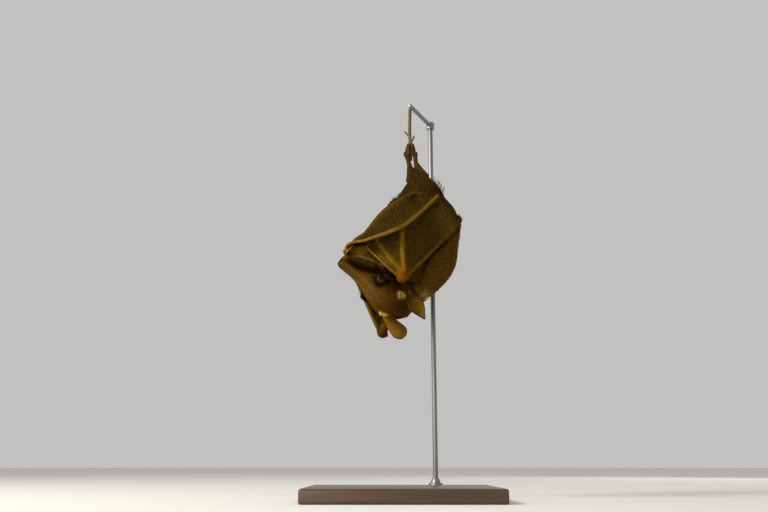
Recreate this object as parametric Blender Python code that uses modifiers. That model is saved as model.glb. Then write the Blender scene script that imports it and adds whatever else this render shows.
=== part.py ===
"""An epauletted fruit bat hanging from a twig, wings wrapped round it, on a display stand.

Metres, +Z up. The origin is the middle of the stand's underside. The bat hangs head down from a
cut length of twig, its belly turned to the front left. Places are given in millimetres through
at(), radii and sections in millimetres too. Each named object is one closed solid.
"""

import math

import bmesh
import bpy
from mathutils import Vector

MM = 0.001
GAP = 0.3 * MM          # clear space between solids that touch in life
FLIGHT_SKIN = 0.7 * MM  # thickness of the wing membranes
EAR_SKIN = 0.9 * MM


def at(x, y, z):
    return Vector((x, y, z)) * MM


# ---------------------------------------------------------------- driving sizes
# Trunk: a furry form round a nearly upright spine, hips at the top.
BELLY = Vector((-0.67, -0.74, 0.0)).normalized()   # the way the belly faces
RIGHT = Vector((0.74, -0.67, 0.0)).normalized()    # the animal's right
# height, middle x, middle y, half width, half depth
TRUNK_SECTIONS = [(207.5, 9.8, 8.6, 1.0, 1.0), (203.5, 11.2, 9.0, 3.5, 3.6),
                  (198.5, 13.2, 10, 6.9, 7.2), (191, 13.6, 11.5, 13.2, 12.4),
                  (180, 10.2, 13, 17.2, 15), (165, 7, 14.5, 16.4, 15),
                  (150, 4.5, 16, 15, 14.5), (138, 3.5, 16, 13, 13),
                  (128, 3.5, 15, 9, 9), (122, 3.5, 14, 2.5, 2.5)]

# Head: measured from between the eyes. It is bent up to the belly and rolled to its left.
EYES_MIDDLE = at(-16.6, -4.8, 124.3)
FORWARD = Vector((-0.77, -0.27, 0.58)).normalized()
CROWN = Vector((-0.33, -0.61, -0.73))
CROWN = (CROWN - CROWN.dot(FORWARD) * FORWARD).normalized()
LEFT = CROWN.cross(FORWARD)
# distance ahead of the eyes, half width, height over the axis, depth under it
HEAD_SECTIONS = [(26.4, 3.2, 2.0, 3.0), (25.2, 4.8, 2.8, 4.8), (20, 5.4, 3.0, 6.0),
                 (12, 6.1, 3.4, 7.0), (5, 7.8, 5.2, 8.2), (-1, 9.8, 7.4, 9.2),
                 (-9, 12, 9.4, 10), (-16, 11.8, 9.0, 9.6), (-23, 8.4, 6.6, 7.4),
                 (-27.5, 3.0, 2.4, 3.0)]
MUZZLE_TIP, NAPE = HEAD_SECTIONS[0][0], HEAD_SECTIONS[-1][0]
EYE_RADIUS = 3.3
EYE_PLACE = (-0.2, 8.6, 1.4)       # ahead, out, up
JAW = [((22, 0, -4.6), 2.7), ((15.5, -0.5, -8.8), 4.5), ((7.5, -0.5, -11.4), 6.0)]
THROAT = [((13, -0.3, -17.5), 5.0), ((4, -0.5, -13.6), 6.4),
          (at(-9.6, 5.4, 138.5), 7.8), (at(0, 11.5, 143), 8)]
NECK = [((-15, 0, -1.5), 5.0), (at(1, 4.4, 116.4), 8.8), (at(4, 13.4, 127.6), 10.2)]

# Ears: root and tip, the way the hollow faces told from the head, half width, the shares of the
# length where it is widest and where the end begins to close, and how pointed it is.
EARS = {
    "right": (at(4.8, -4.5, 119.4), at(14.6, -8.7, 103.8), (0.35, -0.85, 0.0), 5.6, 0.43, 0.3, 0.85),
    "left": (at(-9.4, 8.8, 110), at(1.4, 12.2, 95.6), (0.05, 0.9, -0.35), 4.9, 0.75, 0.7, 0.5),
}

# Wings. The right one is the near one; the left lies over it.
SHOULDER = {"right": at(9, 8, 121.5), "left": at(2, 20, 121)}
UPPER_ARM = {"right": [(at(17.4, 9, 131), 8.4), (at(25.4, 12.5, 143), 9.3), (at(31.2, 17, 158), 6.6)],
             "left": [(at(5, 27, 131), 7.6), (at(8.6, 33.5, 144), 7.4), (at(9.4, 38, 155), 5.6)]}
ELBOW = {"right": at(37.4, 21.5, 173.8), "left": at(8.5, 40, 166)}
WRIST = {"right": at(0.4, -15, 127.4), "left": at(-11.2, 17, 100.8)}
# finger joints from the wrist outward, each with the radius there
FINGERS = {
    "right": {
        "2": [(at(-1.9, -15.2, 128.8), 1.1), (at(-10.5, -13, 137), 1.1), (at(-20.6, -7, 148.4), 0.9),
              (at(-23, -5.4, 147.4), 0.3)],
        "3": [(at(-0.6, -14.2, 130.2), 1.2), (at(-11, -11, 139.5), 1.4), (at(-20.6, -1, 152.4), 1.3),
              (at(-14, 7, 163), 0.8)],
        "4": [(at(0.8, -15.4, 130.8), 1.2), (at(-6.6, -14.6, 140), 1.3), (at(-14.4, -8.6, 154.6), 1.2),
              (at(-9, -1, 168), 0.8)],
        "5": [(at(2.0, -16.6, 130), 1.2), (at(1, -18.6, 142), 1.4), (at(0.6, -16.4, 160), 1.2),
              (at(2.6, -5, 176), 0.8)],
    },
    "left": {
        "2": [(at(-14.4, 14, 102.8), 1.2), (at(-26, 7.4, 128), 1.1), (at(-34.8, -2.4, 147.4), 0.9),
              (at(-34, -5, 147.8), 0.3)],
        "3": [(at(-13.6, 16.8, 104), 1.3), (at(-24.8, 10.6, 128), 1.4), (at(-33.8, 1.2, 150), 1.2),
              (at(-20, -18, 150.2), 1.2), (at(-7, -25.4, 152.8), 1.5), (at(3, -23.5, 158.2), 1.2),
              (at(13, -16.5, 168.6), 1.1), (at(23, -7, 181.4), 1.0)],
        "4": [(at(-12, 18.6, 104.4), 1.2), (at(-22.5, 14.5, 130), 1.3), (at(-30, 6.4, 152.4), 1.3),
              (at(-21.4, -2, 159.6), 1.2), (at(-13.4, -6, 169), 1.1), (at(-5.5, -10, 174.8), 1.0),
              (at(9.2, -9.5, 183.2), 0.8)],
        "5": [(at(-9.8, 20, 103.6), 1.2), (at(-18, 20, 132), 1.3), (at(-21, 17, 158), 1.2),
              (at(-5.6, 15, 185), 0.8)],
    },
}
THUMBS = {
    "right": [(at(3.4, -10, 129.4), 1.4), (at(5.8, -6.6, 131.4), 1.2), (at(7.6, -4.2, 131.6), 0.4)],
    "left": [(at(-9.4, 18.4, 98.2), 1.7), (at(-8.4, 20.8, 98.6), 1.2), (at(-7.6, 22.4, 100), 0.4)],
}

# Legs and feet, and the twig they hold.
KNEE = {"right": at(15.6, 8.6, 198.5), "left": at(7.6, 10.8, 198)}
ANKLE = {"right": at(10.4, 7.2, 208.4), "left": at(6.2, 7.6, 208)}
STEM_RADIUS = 1.2
STEM = [at(7.2, 9.4, 211), at(6.9, 9.4, 220), at(6.5, 9.2, 232), at(6.9, 9, 247)]
STALKS = [[at(6.9, 9.4, 223.5), at(9.6, 10.6, 228.5)], [at(6.6, 9.3, 228), at(3.4, 10.4, 232)]]

# Display stand.
BASE_SIZE = at(110, 90, 8)
BASE_BEVEL = 1.2 * MM
ROD_RADIUS = 1.6
ROD_TOP = at(22, 40, 251)
ARM_HEIGHT = 248.8 * MM

# ---------------------------------------------------------------- materials


def material(name, colour, roughness, metallic=0.0):
    made = bpy.data.materials.new(name)
    made.use_nodes = True
    shader = made.node_tree.nodes["Principled BSDF"]
    shader.inputs["Base Color"].default_value = (*colour, 1)
    shader.inputs["Roughness"].default_value = roughness
    shader.inputs["Metallic"].default_value = metallic
    made.diffuse_color = (*colour, 1)
    return made


for thing in list(bpy.data.objects):
    bpy.data.objects.remove(thing)

FUR = material("brown_fur", (0.16, 0.085, 0.025), 0.85)
MEMBRANE = material("flight_skin", (0.10, 0.06, 0.02), 0.6)
FINGER_SKIN = material("finger_skin", (0.24, 0.13, 0.04), 0.55)
NOSE_SKIN = material("nose_skin", (0.3, 0.16, 0.11), 0.5)
EYE = material("eye", (0.03, 0.015, 0.008), 0.1)
BARK = material("bark", (0.14, 0.09, 0.05), 0.8)
WOOD = material("stained_wood", (0.09, 0.045, 0.02), 0.45)
STEEL = material("steel", (0.45, 0.45, 0.45), 0.35, 1.0)

PARTS = bpy.data.collections.new("fruit_bat")
CUTTERS = bpy.data.collections.new("cutters")
for group in (PARTS, CUTTERS):
    bpy.context.scene.collection.children.link(group)

# ---------------------------------------------------------------- shape makers
# A maker takes a name and how far to grow the form outward, and returns an unlinked object.


def object_of(name, mesh):
    mesh.shade_smooth()
    return bpy.data.objects.new(name, mesh)


def form_object(name, form):
    bmesh.ops.recalc_face_normals(form, faces=form.faces)
    if form.calc_volume(signed=True) < 0:
        bmesh.ops.reverse_faces(form, faces=form.faces)
    mesh = bpy.data.meshes.new(name)
    form.to_mesh(mesh)
    form.free()
    return object_of(name, mesh)


def finished_mesh(made):
    """The mesh of an object with its modifiers worked in."""
    bpy.context.scene.collection.objects.link(made)
    graph = bpy.context.evaluated_depsgraph_get()
    mesh = bpy.data.meshes.new_from_object(made.evaluated_get(graph))
    bpy.data.objects.remove(made)
    return mesh


def read_table(rows, where):
    """Reads a table of (place, value, value, ...) at a place, easing from row to row."""
    rows = sorted(rows)
    if where <= rows[0][0]:
        return rows[0][1:]
    if where >= rows[-1][0]:
        return rows[-1][1:]
    index = max(i for i, row in enumerate(rows) if row[0] < where)
    low, high = rows[index], rows[index + 1]
    before, after = rows[max(index - 1, 0)], rows[min(index + 2, len(rows) - 1)]
    step = high[0] - low[0]
    share = (where - low[0]) / step
    rise = 3 * share**2 - 2 * share**3
    lead = share**3 - 2 * share**2 + share
    trail = share**3 - share**2
    found = []
    for k in range(1, len(low)):
        slope_low = (high[k] - before[k]) / (high[0] - before[0]) * step
        slope_high = (after[k] - low[k]) / (after[0] - low[0]) * step
        found.append((1 - rise) * low[k] + rise * high[k] + lead * slope_low + trail * slope_high)
    return found


def through(points, count):
    """A smooth line through (place, radius) rows, as count rows."""
    rows = [(i, *place, radius) for i, (place, radius) in enumerate(points)]
    line = [read_table(rows, i * (len(rows) - 1) / (count - 1)) for i in range(count)]
    return [(Vector(row[:3]), row[3]) for row in line]


def tube(points, count=8, sides=2):
    """A round limb through (place, radius) rows."""

    def make(name, grow=0.0):
        curve = bpy.data.curves.new(name, "CURVE")
        curve.dimensions = "3D"
        curve.bevel_depth = MM
        curve.bevel_resolution = sides
        curve.use_fill_caps = True
        line = through(points, count)
        line[0][0].xyz -= (line[1][0] - line[0][0]).normalized() * grow
        line[-1][0].xyz += (line[-1][0] - line[-2][0]).normalized() * grow
        spline = curve.splines.new("POLY")
        spline.points.add(len(line) - 1)
        for spot, (place, radius) in zip(spline.points, line):
            spot.co = (*place, 1)
            spot.radius = radius + grow / MM
        form = bmesh.new()
        form.from_mesh(finished_mesh(bpy.data.objects.new(name, curve)))
        bmesh.ops.remove_doubles(form, verts=form.verts, dist=0.01 * MM)
        return form_object(name, form)

    return make


def ball(place, radii, around=14, rings=9):
    """An ellipsoid with its radii along x, y and z."""

    def make(name, grow=0.0):
        form = bmesh.new()
        bmesh.ops.create_uvsphere(form, u_segments=around, v_segments=rings, radius=1)
        for vert in form.verts:
            vert.co = place + Vector([c * (r * MM + grow) for c, r in zip(vert.co, radii)])
        return form_object(name, form)

    return make


def merged(*makers):
    """Several forms made into one closed solid."""

    def make(name, grow=0.0):
        whole = makers[0](name, grow)
        others = [maker(f"{name}_{i}", grow) for i, maker in enumerate(makers[1:])]
        for other in others:
            bpy.context.scene.collection.objects.link(other)
            join = whole.modifiers.new("join", "BOOLEAN")
            join.operation = "UNION"
            join.object = other
        mesh = finished_mesh(whole)
        for other in others:
            bpy.data.objects.remove(other)
        return object_of(name, mesh)

    return make


def round_form(around, rings, place_at):
    """A sphere's mesh re-placed by place_at(share from pole to pole, across, up, grow)."""

    def make(name, grow=0.0):
        form = bmesh.new()
        bmesh.ops.create_uvsphere(form, u_segments=around, v_segments=rings, radius=1)
        for vert in form.verts:
            share = min(1, max(0, 0.5 - 0.5 * vert.co.z))
            flat = math.hypot(vert.co.x, vert.co.y) or 1
            across, up = (vert.co.x / flat, vert.co.y / flat) if 1e-5 < share < 1 - 1e-5 else (0, 0)
            vert.co = place_at(share, across, up, grow)
        return form_object(name, form)

    return make


def trunk_place(share, across, up, grow):
    height = TRUNK_SECTIONS[0][0] + (TRUNK_SECTIONS[-1][0] - TRUNK_SECTIONS[0][0]) * share
    x, y, wide, deep = read_table(TRUNK_SECTIONS, height)
    if not across and not up:
        height += grow / MM * (1 if share < 0.5 else -1)
    return (at(x, y, height) + RIGHT * across * (wide * MM + grow)
            + BELLY * up * (deep * MM + grow))


def clear_of_trunk(place, clearance):
    """Moves a point that lies in the trunk straight out from its middle until it is clear."""
    height = place.z / MM
    if not TRUNK_SECTIONS[-1][0] < height < TRUNK_SECTIONS[0][0]:
        return place
    x, y, wide, deep = read_table(TRUNK_SECTIONS, height)
    off = place - at(x, y, height)
    side, front = off.dot(RIGHT), off.dot(BELLY)
    reach = math.hypot(side / (wide * MM + clearance), front / (deep * MM + clearance))
    if reach >= 1 or reach < 1e-6:
        return place
    return place + (RIGHT * side + BELLY * front) * (1 / reach - 1)


def in_head(ahead, left, up):
    """A place given in millimetres from between the eyes."""
    return EYES_MIDDLE + (FORWARD * ahead + LEFT * left + CROWN * up) * MM


def head_place(share, across, rise, grow):
    more = grow / MM
    ahead = MUZZLE_TIP + (NAPE - MUZZLE_TIP) * share
    wide, over, under = read_table(HEAD_SECTIONS, ahead)
    if not across and not rise:
        ahead += more if share < 0.5 else -more
    high = over if rise > 0 else under
    return in_head(ahead, across * (wide + more), rise * (high + more))


def sheet(place_at, across, along, thickness=FLIGHT_SKIN):
    """A bent skin: place_at(u, v) gives its middle, u across and v along, both 0 to 1."""

    def make(name, grow=0.0):
        form = bmesh.new()
        bmesh.ops.create_grid(form, x_segments=across, y_segments=along, size=0.5)
        for vert in form.verts:
            vert.co = place_at(vert.co.x + 0.5, vert.co.y + 0.5)
        mesh = bpy.data.meshes.new(name)
        form.to_mesh(mesh)
        form.free()
        made = object_of(name, mesh)
        wall = made.modifiers.new("wall", "SOLIDIFY")
        wall.thickness = thickness + 2 * grow
        wall.offset = 0
        return made

    return make


# ---------------------------------------------------------------- assembling nodes
MAKERS = {}


def node(name, maker, look, cut_by=()):
    """Adds one named solid. The nodes in cut_by, grown by the gap, are cut out of it."""
    MAKERS[name] = maker
    made = maker(name)
    made.data.materials.append(look)
    PARTS.objects.link(made)
    for other in cut_by:
        tool = bpy.data.objects.get(other + "_cutter")
        if tool is None:
            tool = MAKERS[other](other + "_cutter", GAP)
            tool.hide_render = True
            tool.display_type = "WIRE"
            CUTTERS.objects.link(tool)
        cut = made.modifiers.new("clear_" + other, "BOOLEAN")
        cut.operation = "DIFFERENCE"
        cut.object = tool
    return made


# Trunk and head. The eyes and lower jaw sit in hollows cut from the head.
node("trunk", round_form(16, 13, trunk_place), FUR)
ahead, out, up = EYE_PLACE
for side, sign in (("right", -1), ("left", 1)):
    node("eye_" + side, ball(in_head(ahead, sign * out, up), (EYE_RADIUS,) * 3, 12, 8), EYE)
node("nose", merged(ball(in_head(25.2, -1.5, 0.2), (1.8, 1.8, 1.8), 8, 6),
                    ball(in_head(25.2, 1.5, 0.2), (1.8, 1.8, 1.8), 8, 6)), NOSE_SKIN)
node("jaw", tube([(in_head(*place), radius) for place, radius in JAW], 7, 3), FUR)
node("head", round_form(16, 13, head_place), FUR, ["eye_right", "eye_left", "nose", "jaw"])


# Ears: leaves rolled into a cup, closing towards the root.
def ear(side):
    root, tip, hollow, half_width, widest, closing, point = EARS[side]
    along = (tip - root).normalized()
    length = (tip - root).length
    faces = FORWARD * hollow[0] + LEFT * hollow[1] + CROWN * hollow[2]
    faces = (faces - faces.dot(along) * along).normalized()
    across = along.cross(faces)

    def place(u, v):
        width = half_width * MM * (0.55 + 0.45 * math.sin(math.pi / 2 * min(2, v / widest)))
        width *= max(0.0, 1 - (max(0.0, v - closing) / (1 - closing)) ** 2) ** point * 0.94 + 0.06
        half_bend = math.radians(110 - 65 * v)
        roll = width / half_bend * 1.35
        bend = half_bend * (2 * u - 1)
        return (root + along * length * v + across * roll * math.sin(bend)
                - faces * roll * (math.cos(bend) - 0.35))

    return sheet(place, 6, 7, EAR_SKIN)


for side in ("right", "left"):
    node("ear_" + side, ear(side), FINGER_SKIN, ["head"])
node("neck", tube([(in_head(*NECK[0][0]), NECK[0][1])] + NECK[1:], 6, 4), FUR,
     ["trunk", "head", "ear_right", "ear_left"])
node("throat", tube([(in_head(*place), radius) for place, radius in THROAT[:2]] + THROAT[2:], 4, 2), FUR,
     ["trunk", "head", "jaw", "neck"])

# Arms, wrists and fingers.
def ring_count(joints):
    return 2 * len(joints) + 1


for side in ("right", "left"):
    shoulder, elbow, wrist = SHOULDER[side], ELBOW[side], WRIST[side]
    node("wrist_" + side, ball(wrist, (3.6, 3.2, 3.5), 10, 8), FINGER_SKIN, ["head"])
    forearm = tube([(wrist, 2.2), (wrist.lerp(elbow, 0.5), 2.8),
                    (wrist.lerp(elbow, 0.82), 3.9), (elbow, 3.2)], 8, 2)
    node("forearm_" + side, merged(forearm, ball(elbow, (3.7, 3.7, 3.7), 10, 7)), FINGER_SKIN,
         ["wrist_" + side, "trunk"])
    upper = [(shoulder, 6.5)] + UPPER_ARM[side] + [(elbow, 3.0)]
    node("upper_arm_" + side, tube(upper, 8, 3), FUR,
         ["trunk", "neck", "head", "forearm_" + side])
    node("thumb_" + side, tube([(wrist, 1.4)] + THUMBS[side], 8, 1), FINGER_SKIN,
         ["wrist_" + side, "forearm_" + side, "head", "ear_" + side])
    done = []
    for finger, joints in FINGERS[side].items():
        node(f"finger_{finger}_{side}", tube(joints, ring_count(joints), 1), FINGER_SKIN,
             ["wrist_" + side, "forearm_" + side] + done)
        done.append(f"finger_{finger}_{side}")


# Wing membranes, each stretched between two lines.
def line_reader(places):
    fine = through([(place, 0) for place in places], ring_count(places))

    def read(share):
        where = share * (len(fine) - 1)
        low = min(int(where), len(fine) - 2)
        return fine[low][0].lerp(fine[low + 1][0], where - low)

    return read


def web(line_a, line_b, bulge, start=0.12, scallop=0.04, clearance=2.2 * MM):
    """A membrane from line_a to line_b; its free edge is scalloped between their ends."""

    def place(u, v):
        share = start + (0.97 - start) * v
        share *= 1 - scallop * math.sin(math.pi * u) * v
        spot = line_a(share).lerp(line_b(share), u)
        spot += bulge * math.sin(math.pi * u) * (0.3 + 0.7 * v)
        return clear_of_trunk(spot, clearance)

    return place


for side in ("right", "left"):
    wrist, elbow = WRIST[side], ELBOW[side]
    lines = {f: line_reader([place for place, radius in joints])
             for f, joints in FINGERS[side].items()}
    flank = line_reader([wrist, elbow, KNEE[side]])
    arm_front = line_reader([wrist, wrist.lerp(elbow, 0.5), elbow])
    upper = UPPER_ARM[side][0][0]
    arm_back = line_reader([wrist.lerp(upper, 0.5), upper, elbow])
    out = {"right": at(3, -3, 0), "left": at(-3, 2, 0)}[side]
    arm_bones = ["wrist_" + side, "forearm_" + side, "upper_arm_" + side]
    bones = arm_bones + ["trunk"] + [f"finger_{f}_{side}" for f in "2345"]
    node("membrane_arm_" + side, sheet(web(lines["5"], flank, out), 7, 9), MEMBRANE, bones)
    node("membrane_45_" + side, sheet(web(lines["4"], lines["5"], out * 0.3), 3, 8),
         MEMBRANE, bones)
    node("membrane_34_" + side, sheet(web(lines["3"], lines["4"], out * 0.3), 3, 10),
         MEMBRANE, bones)
    beside = ["neck", "thumb_right"] if side == "right" else ["neck"]
    node("propatagium_" + side, sheet(web(arm_front, arm_back, out * 0.3, scallop=0), 4, 6),
         MEMBRANE, arm_bones + beside)


# Legs, and feet whose toes run up the twig and hook into it.
def foot(side):
    sign = 1 if side == "right" else -1
    ankle = ANKLE[side]
    grip = 215
    stem_x, stem_y = STEM[1].x / MM, STEM[1].y / MM

    def round_stem(angle, distance, height):
        return at(stem_x + sign * distance * math.sin(angle),
                  stem_y - distance * math.cos(angle), height)

    sole = round_stem(math.radians(61), 3.3, grip)
    pieces = [tube([(ankle, 1.5), (ankle.lerp(sole, 0.5), 1.6), (sole, 1.9)], 5, 1)]
    for toe in range(5):
        angle = math.radians(19 + 21 * toe)
        rise = grip + 2.2 - 0.35 * abs(toe - 2)
        pieces.append(tube([(round_stem(angle, 3.2, grip - 0.8), 0.75),
                            (round_stem(angle, 2.9, rise), 0.7),
                            (round_stem(angle, 2.5, rise + 3), 0.6),
                            (round_stem(angle, 2.3, rise + 4.4), 0.42),
                            (round_stem(angle, 1.75, rise + 5.2), 0.25)], 5, 1))
    return merged(*pieces)


node("perch", merged(tube([(place, STEM_RADIUS) for place in STEM], 7, 2),
                     *[tube([(place, 0.6) for place in stalk], 2, 1) for stalk in STALKS]), BARK)
for side in ("right", "left"):
    node("shank_" + side, tube([(KNEE[side], 3.6), (ANKLE[side], 1.5)], 5, 2), FUR, ["trunk"])
    node("foot_" + side, foot(side), FINGER_SKIN, ["perch", "shank_" + side])


# Display stand: a bevelled base, an upright rod behind the bat and an arm over it.
form = bmesh.new()
bmesh.ops.create_cube(form, size=1)
for vert in form.verts:
    vert.co = Vector([c * s for c, s in zip(vert.co, BASE_SIZE)]) + Vector((0, 0, BASE_SIZE.z / 2))
base = form_object("stand_base", form)
base.data.materials.append(WOOD)
PARTS.objects.link(base)
bevel = base.modifiers.new("bevel", "BEVEL")
bevel.width = BASE_BEVEL
bevel.segments = 1
rod_foot = Vector((ROD_TOP.x, ROD_TOP.y, BASE_SIZE.z + GAP))
node("stand_rod", tube([(rod_foot, ROD_RADIUS), (ROD_TOP, ROD_RADIUS)], 2, 3), STEEL)
stem_top = STEM[-1]
arm_end = Vector((stem_top.x, stem_top.y - 2.2 * MM, ARM_HEIGHT))
arm_start = Vector((ROD_TOP.x, ROD_TOP.y, ARM_HEIGHT))
node("stand_arm", tube([(arm_start, 1.3), (arm_end, 1.3)], 2, 3), STEEL, ["stand_rod", "perch"])
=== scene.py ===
import math

import bmesh
import bpy
import numpy as np
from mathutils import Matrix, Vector
from mathutils.bvhtree import BVHTree
from mathutils.kdtree import KDTree


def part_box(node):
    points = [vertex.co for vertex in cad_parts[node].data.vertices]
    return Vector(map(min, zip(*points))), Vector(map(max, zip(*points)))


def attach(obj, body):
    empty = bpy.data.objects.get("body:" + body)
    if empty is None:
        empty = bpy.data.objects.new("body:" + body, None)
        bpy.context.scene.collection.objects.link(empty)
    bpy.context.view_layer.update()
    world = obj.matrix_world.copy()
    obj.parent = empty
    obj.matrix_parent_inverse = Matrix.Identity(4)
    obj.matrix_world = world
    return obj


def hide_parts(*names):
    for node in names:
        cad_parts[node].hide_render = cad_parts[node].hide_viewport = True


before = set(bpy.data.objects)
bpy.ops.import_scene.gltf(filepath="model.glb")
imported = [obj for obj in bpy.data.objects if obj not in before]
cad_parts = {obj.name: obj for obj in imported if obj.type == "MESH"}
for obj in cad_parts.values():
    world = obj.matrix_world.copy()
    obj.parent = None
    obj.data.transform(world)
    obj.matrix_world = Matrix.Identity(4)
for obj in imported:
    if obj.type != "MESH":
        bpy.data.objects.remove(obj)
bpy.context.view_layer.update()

# ---------------------------------------------------------------------------------------------
# Studio. A wide pale floor, a soft key light high on the front left, a weak fill low in front
# and a weaker light behind. The camera stands just above the floor and looks up at the bat.


def add(tree, kind, inputs=None, **settings):
    """Adds a shader node; inputs are numbers, colours or other nodes' outputs, by socket name."""
    made = tree.nodes.new("ShaderNode" + kind)
    for name, value in settings.items():
        setattr(made, name, value)
    for name, value in (inputs or {}).items():
        if isinstance(value, bpy.types.NodeSocket):
            tree.links.new(value, made.inputs[name])
        else:
            made.inputs[name].default_value = value
    return made


def blended(tree, share, first, second, mode="MIX"):
    """Two colours mixed by a share, each a socket or an (r, g, b)."""
    made = add(tree, "Mix", data_type="RGBA", blend_type=mode)
    for index, value in ((0, share), (6, first), (7, second)):
        if isinstance(value, bpy.types.NodeSocket):
            tree.links.new(value, made.inputs[index])
        else:
            made.inputs[index].default_value = (*value, 1) if index else value
    return made.outputs[2]


def new_finish(name, roughness, **sockets):
    """A material with its shader's plain values set; returns the material, tree and shader."""
    made = bpy.data.materials.new(name)
    made.use_nodes = True
    shader = made.node_tree.nodes["Principled BSDF"]
    shader.inputs["Roughness"].default_value = roughness
    for socket, value in sockets.items():
        shader.inputs[socket.replace("_", " ")].default_value = value
    return made, made.node_tree, shader


def speckle(tree, scale, detail=3.0, stretch=(1, 1, 1), rough=0.55):
    """Noise on the object's own coordinates, scale in lumps a metre."""
    spot = add(tree, "TexCoord").outputs["Object"]
    spot = add(tree, "Mapping", {"Vector": spot, "Scale": stretch}).outputs["Vector"]
    return add(tree, "TexNoise", {"Vector": spot, "Scale": scale, "Detail": detail,
                                  "Roughness": rough}).outputs["Fac"]


def painted(tree, shader, colour):
    tree.links.new(colour, shader.inputs["Base Color"])


def mesh_from(name, form):
    """Turns an edited form into a mesh of its own."""
    made = bpy.data.meshes.new(name)
    form.to_mesh(made)
    form.free()
    return made


def shown(name, mesh):
    """Links a mesh as an object at the origin."""
    made = bpy.data.objects.new(name, mesh)
    bpy.context.scene.collection.objects.link(made)
    return made


FLOOR_RADIUS = 5
form = bmesh.new()
bmesh.ops.create_circle(form, cap_ends=True, segments=96, radius=FLOOR_RADIUS)
floor = shown("floor", mesh_from("floor", form))
paper, tree, shader = new_finish("pale_floor", 0.9, Specular_IOR_Level=0.1)
painted(tree, shader, blended(tree, speckle(tree, 14), (0.74, 0.73, 0.71), (0.79, 0.78, 0.76)))
floor.data.materials.append(paper)


BAT_MIDDLE = (0, 0, 0.155)


def soft_light(name, place, size, power, colour):
    """A round soft light of a size in metres and a power in watts, aimed at the bat."""
    lamp = bpy.data.lights.new(name, "AREA")
    lamp.shape = "DISK"
    lamp.size = size
    lamp.energy = power
    lamp.color = colour
    made = shown(name, lamp)
    made.location = place
    made.rotation_mode = "QUATERNION"
    made.rotation_quaternion = (Vector(place) - Vector(BAT_MIDDLE)).to_track_quat("Z", "Y")


soft_light("key", (-0.75, -0.40, 0.62), size=0.35, power=10.0, colour=(1, 0.94, 0.82))
soft_light("fill", (-0.45, -0.85, 0.12), size=0.4, power=1.6, colour=(1, 0.95, 0.86))
soft_light("back", (0.5, 0.8, 0.35), size=0.6, power=1.0, colour=(1, 0.98, 0.94))
world = bpy.data.worlds.new("studio")
world.use_nodes = True
backdrop = world.node_tree.nodes["Background"].inputs
backdrop["Color"].default_value = (0.87, 0.865, 0.85, 1)
backdrop["Strength"].default_value = 0.62
bpy.context.scene.world = world
bpy.context.scene.view_settings.view_transform = "Standard"

LOOKS_UP = 14.5         # degrees over level
camera_data = bpy.data.cameras.new("camera")
camera_data.lens = 37.8024
camera_data.clip_start = 0.01
camera = shown("camera", camera_data)
camera.location = (-0.01023, -0.48159, 0.020206)
camera.rotation_euler = (math.radians(90 + LOOKS_UP), 0, 0)
bpy.context.scene.camera = camera

# ---------------------------------------------------------------------------------------------
# Stand block. A low block of stained hardwood with eased edges and a clear satin varnish; its
# weight keeps the stand upright, and the rod is set into a hole in its top.

MM = 0.001
low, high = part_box("stand_base")
form = bmesh.new()
bmesh.ops.create_cube(form, size=1)
for vert in form.verts:
    vert.co = [a + (b - a) * (c + 0.5) for a, b, c in zip(low, high, vert.co)]
bmesh.ops.bevel(form, geom=form.edges, offset=1.3 * MM, segments=4, profile=0.5, affect="EDGES")
mesh = mesh_from("stand_base", form)
mesh.shade_smooth()
mesh.set_sharp_from_angle(angle=math.radians(35))
block = shown("stand_base_block", mesh)


def ranged(tree, value, low, high, to_low=0.0, to_high=1.0):
    """Stretches the part of a value from low to high over another range."""
    return add(tree, "MapRange", {"Value": value, "From Min": low, "From Max": high,
                                  "To Min": to_low, "To Max": to_high}).outputs["Result"]


def raised(tree, shader, height, strength, distance):
    """Gives a shader a bump of the height, distance in metres."""
    bump = add(tree, "Bump", {"Height": height, "Strength": strength, "Distance": distance})
    tree.links.new(bump.outputs["Normal"], shader.inputs["Normal"])


wood, tree, shader = new_finish("stained_wood", 0.4, Coat_Weight=0.25, Coat_Roughness=0.25)
grain = speckle(tree, 160, detail=5, stretch=(0.12, 1.6, 1.6), rough=0.6)
rings = speckle(tree, 60, detail=2, stretch=(0.1, 1, 1))
tone = blended(tree, ranged(tree, grain, 0.35, 0.68), (0.095, 0.042, 0.018), (0.032, 0.014, 0.007))
painted(tree, shader, blended(tree, rings, tone, (0.075, 0.034, 0.015)))
raised(tree, shader, grain, 0.35, 0.15 * MM)
mesh.materials.append(wood)
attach(block, "root")
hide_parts("stand_base")

# ---------------------------------------------------------------------------------------------
# Stand rods. An upright of brushed steel rod stands in a turned collar on the block; a thinner
# arm is clamped to its head by a small turned boss, and its rounded tip grips the twig.


def turned(form, start, end, profile, sides=40):
    """Adds a closed turned shape along a line; profile rows are (share of the way, radius)."""
    start, end = Vector(start), Vector(end)
    turn = (end - start).to_track_quat("Z", "Y")
    rings = []
    for share, radius in profile:
        middle = start.lerp(end, share)
        ring = [form.verts.new(middle + turn @ Vector((radius * math.cos(a), radius * math.sin(a), 0)))
                for a in [2 * math.pi * i / sides for i in range(sides)]]
        rings.append(ring)
    for one, two in zip(rings, rings[1:]):
        for i in range(sides):
            j = (i + 1) % sides
            form.faces.new((one[i], one[j], two[j], two[i]))
    form.faces.new(rings[0][::-1])
    form.faces.new(rings[-1])


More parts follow.
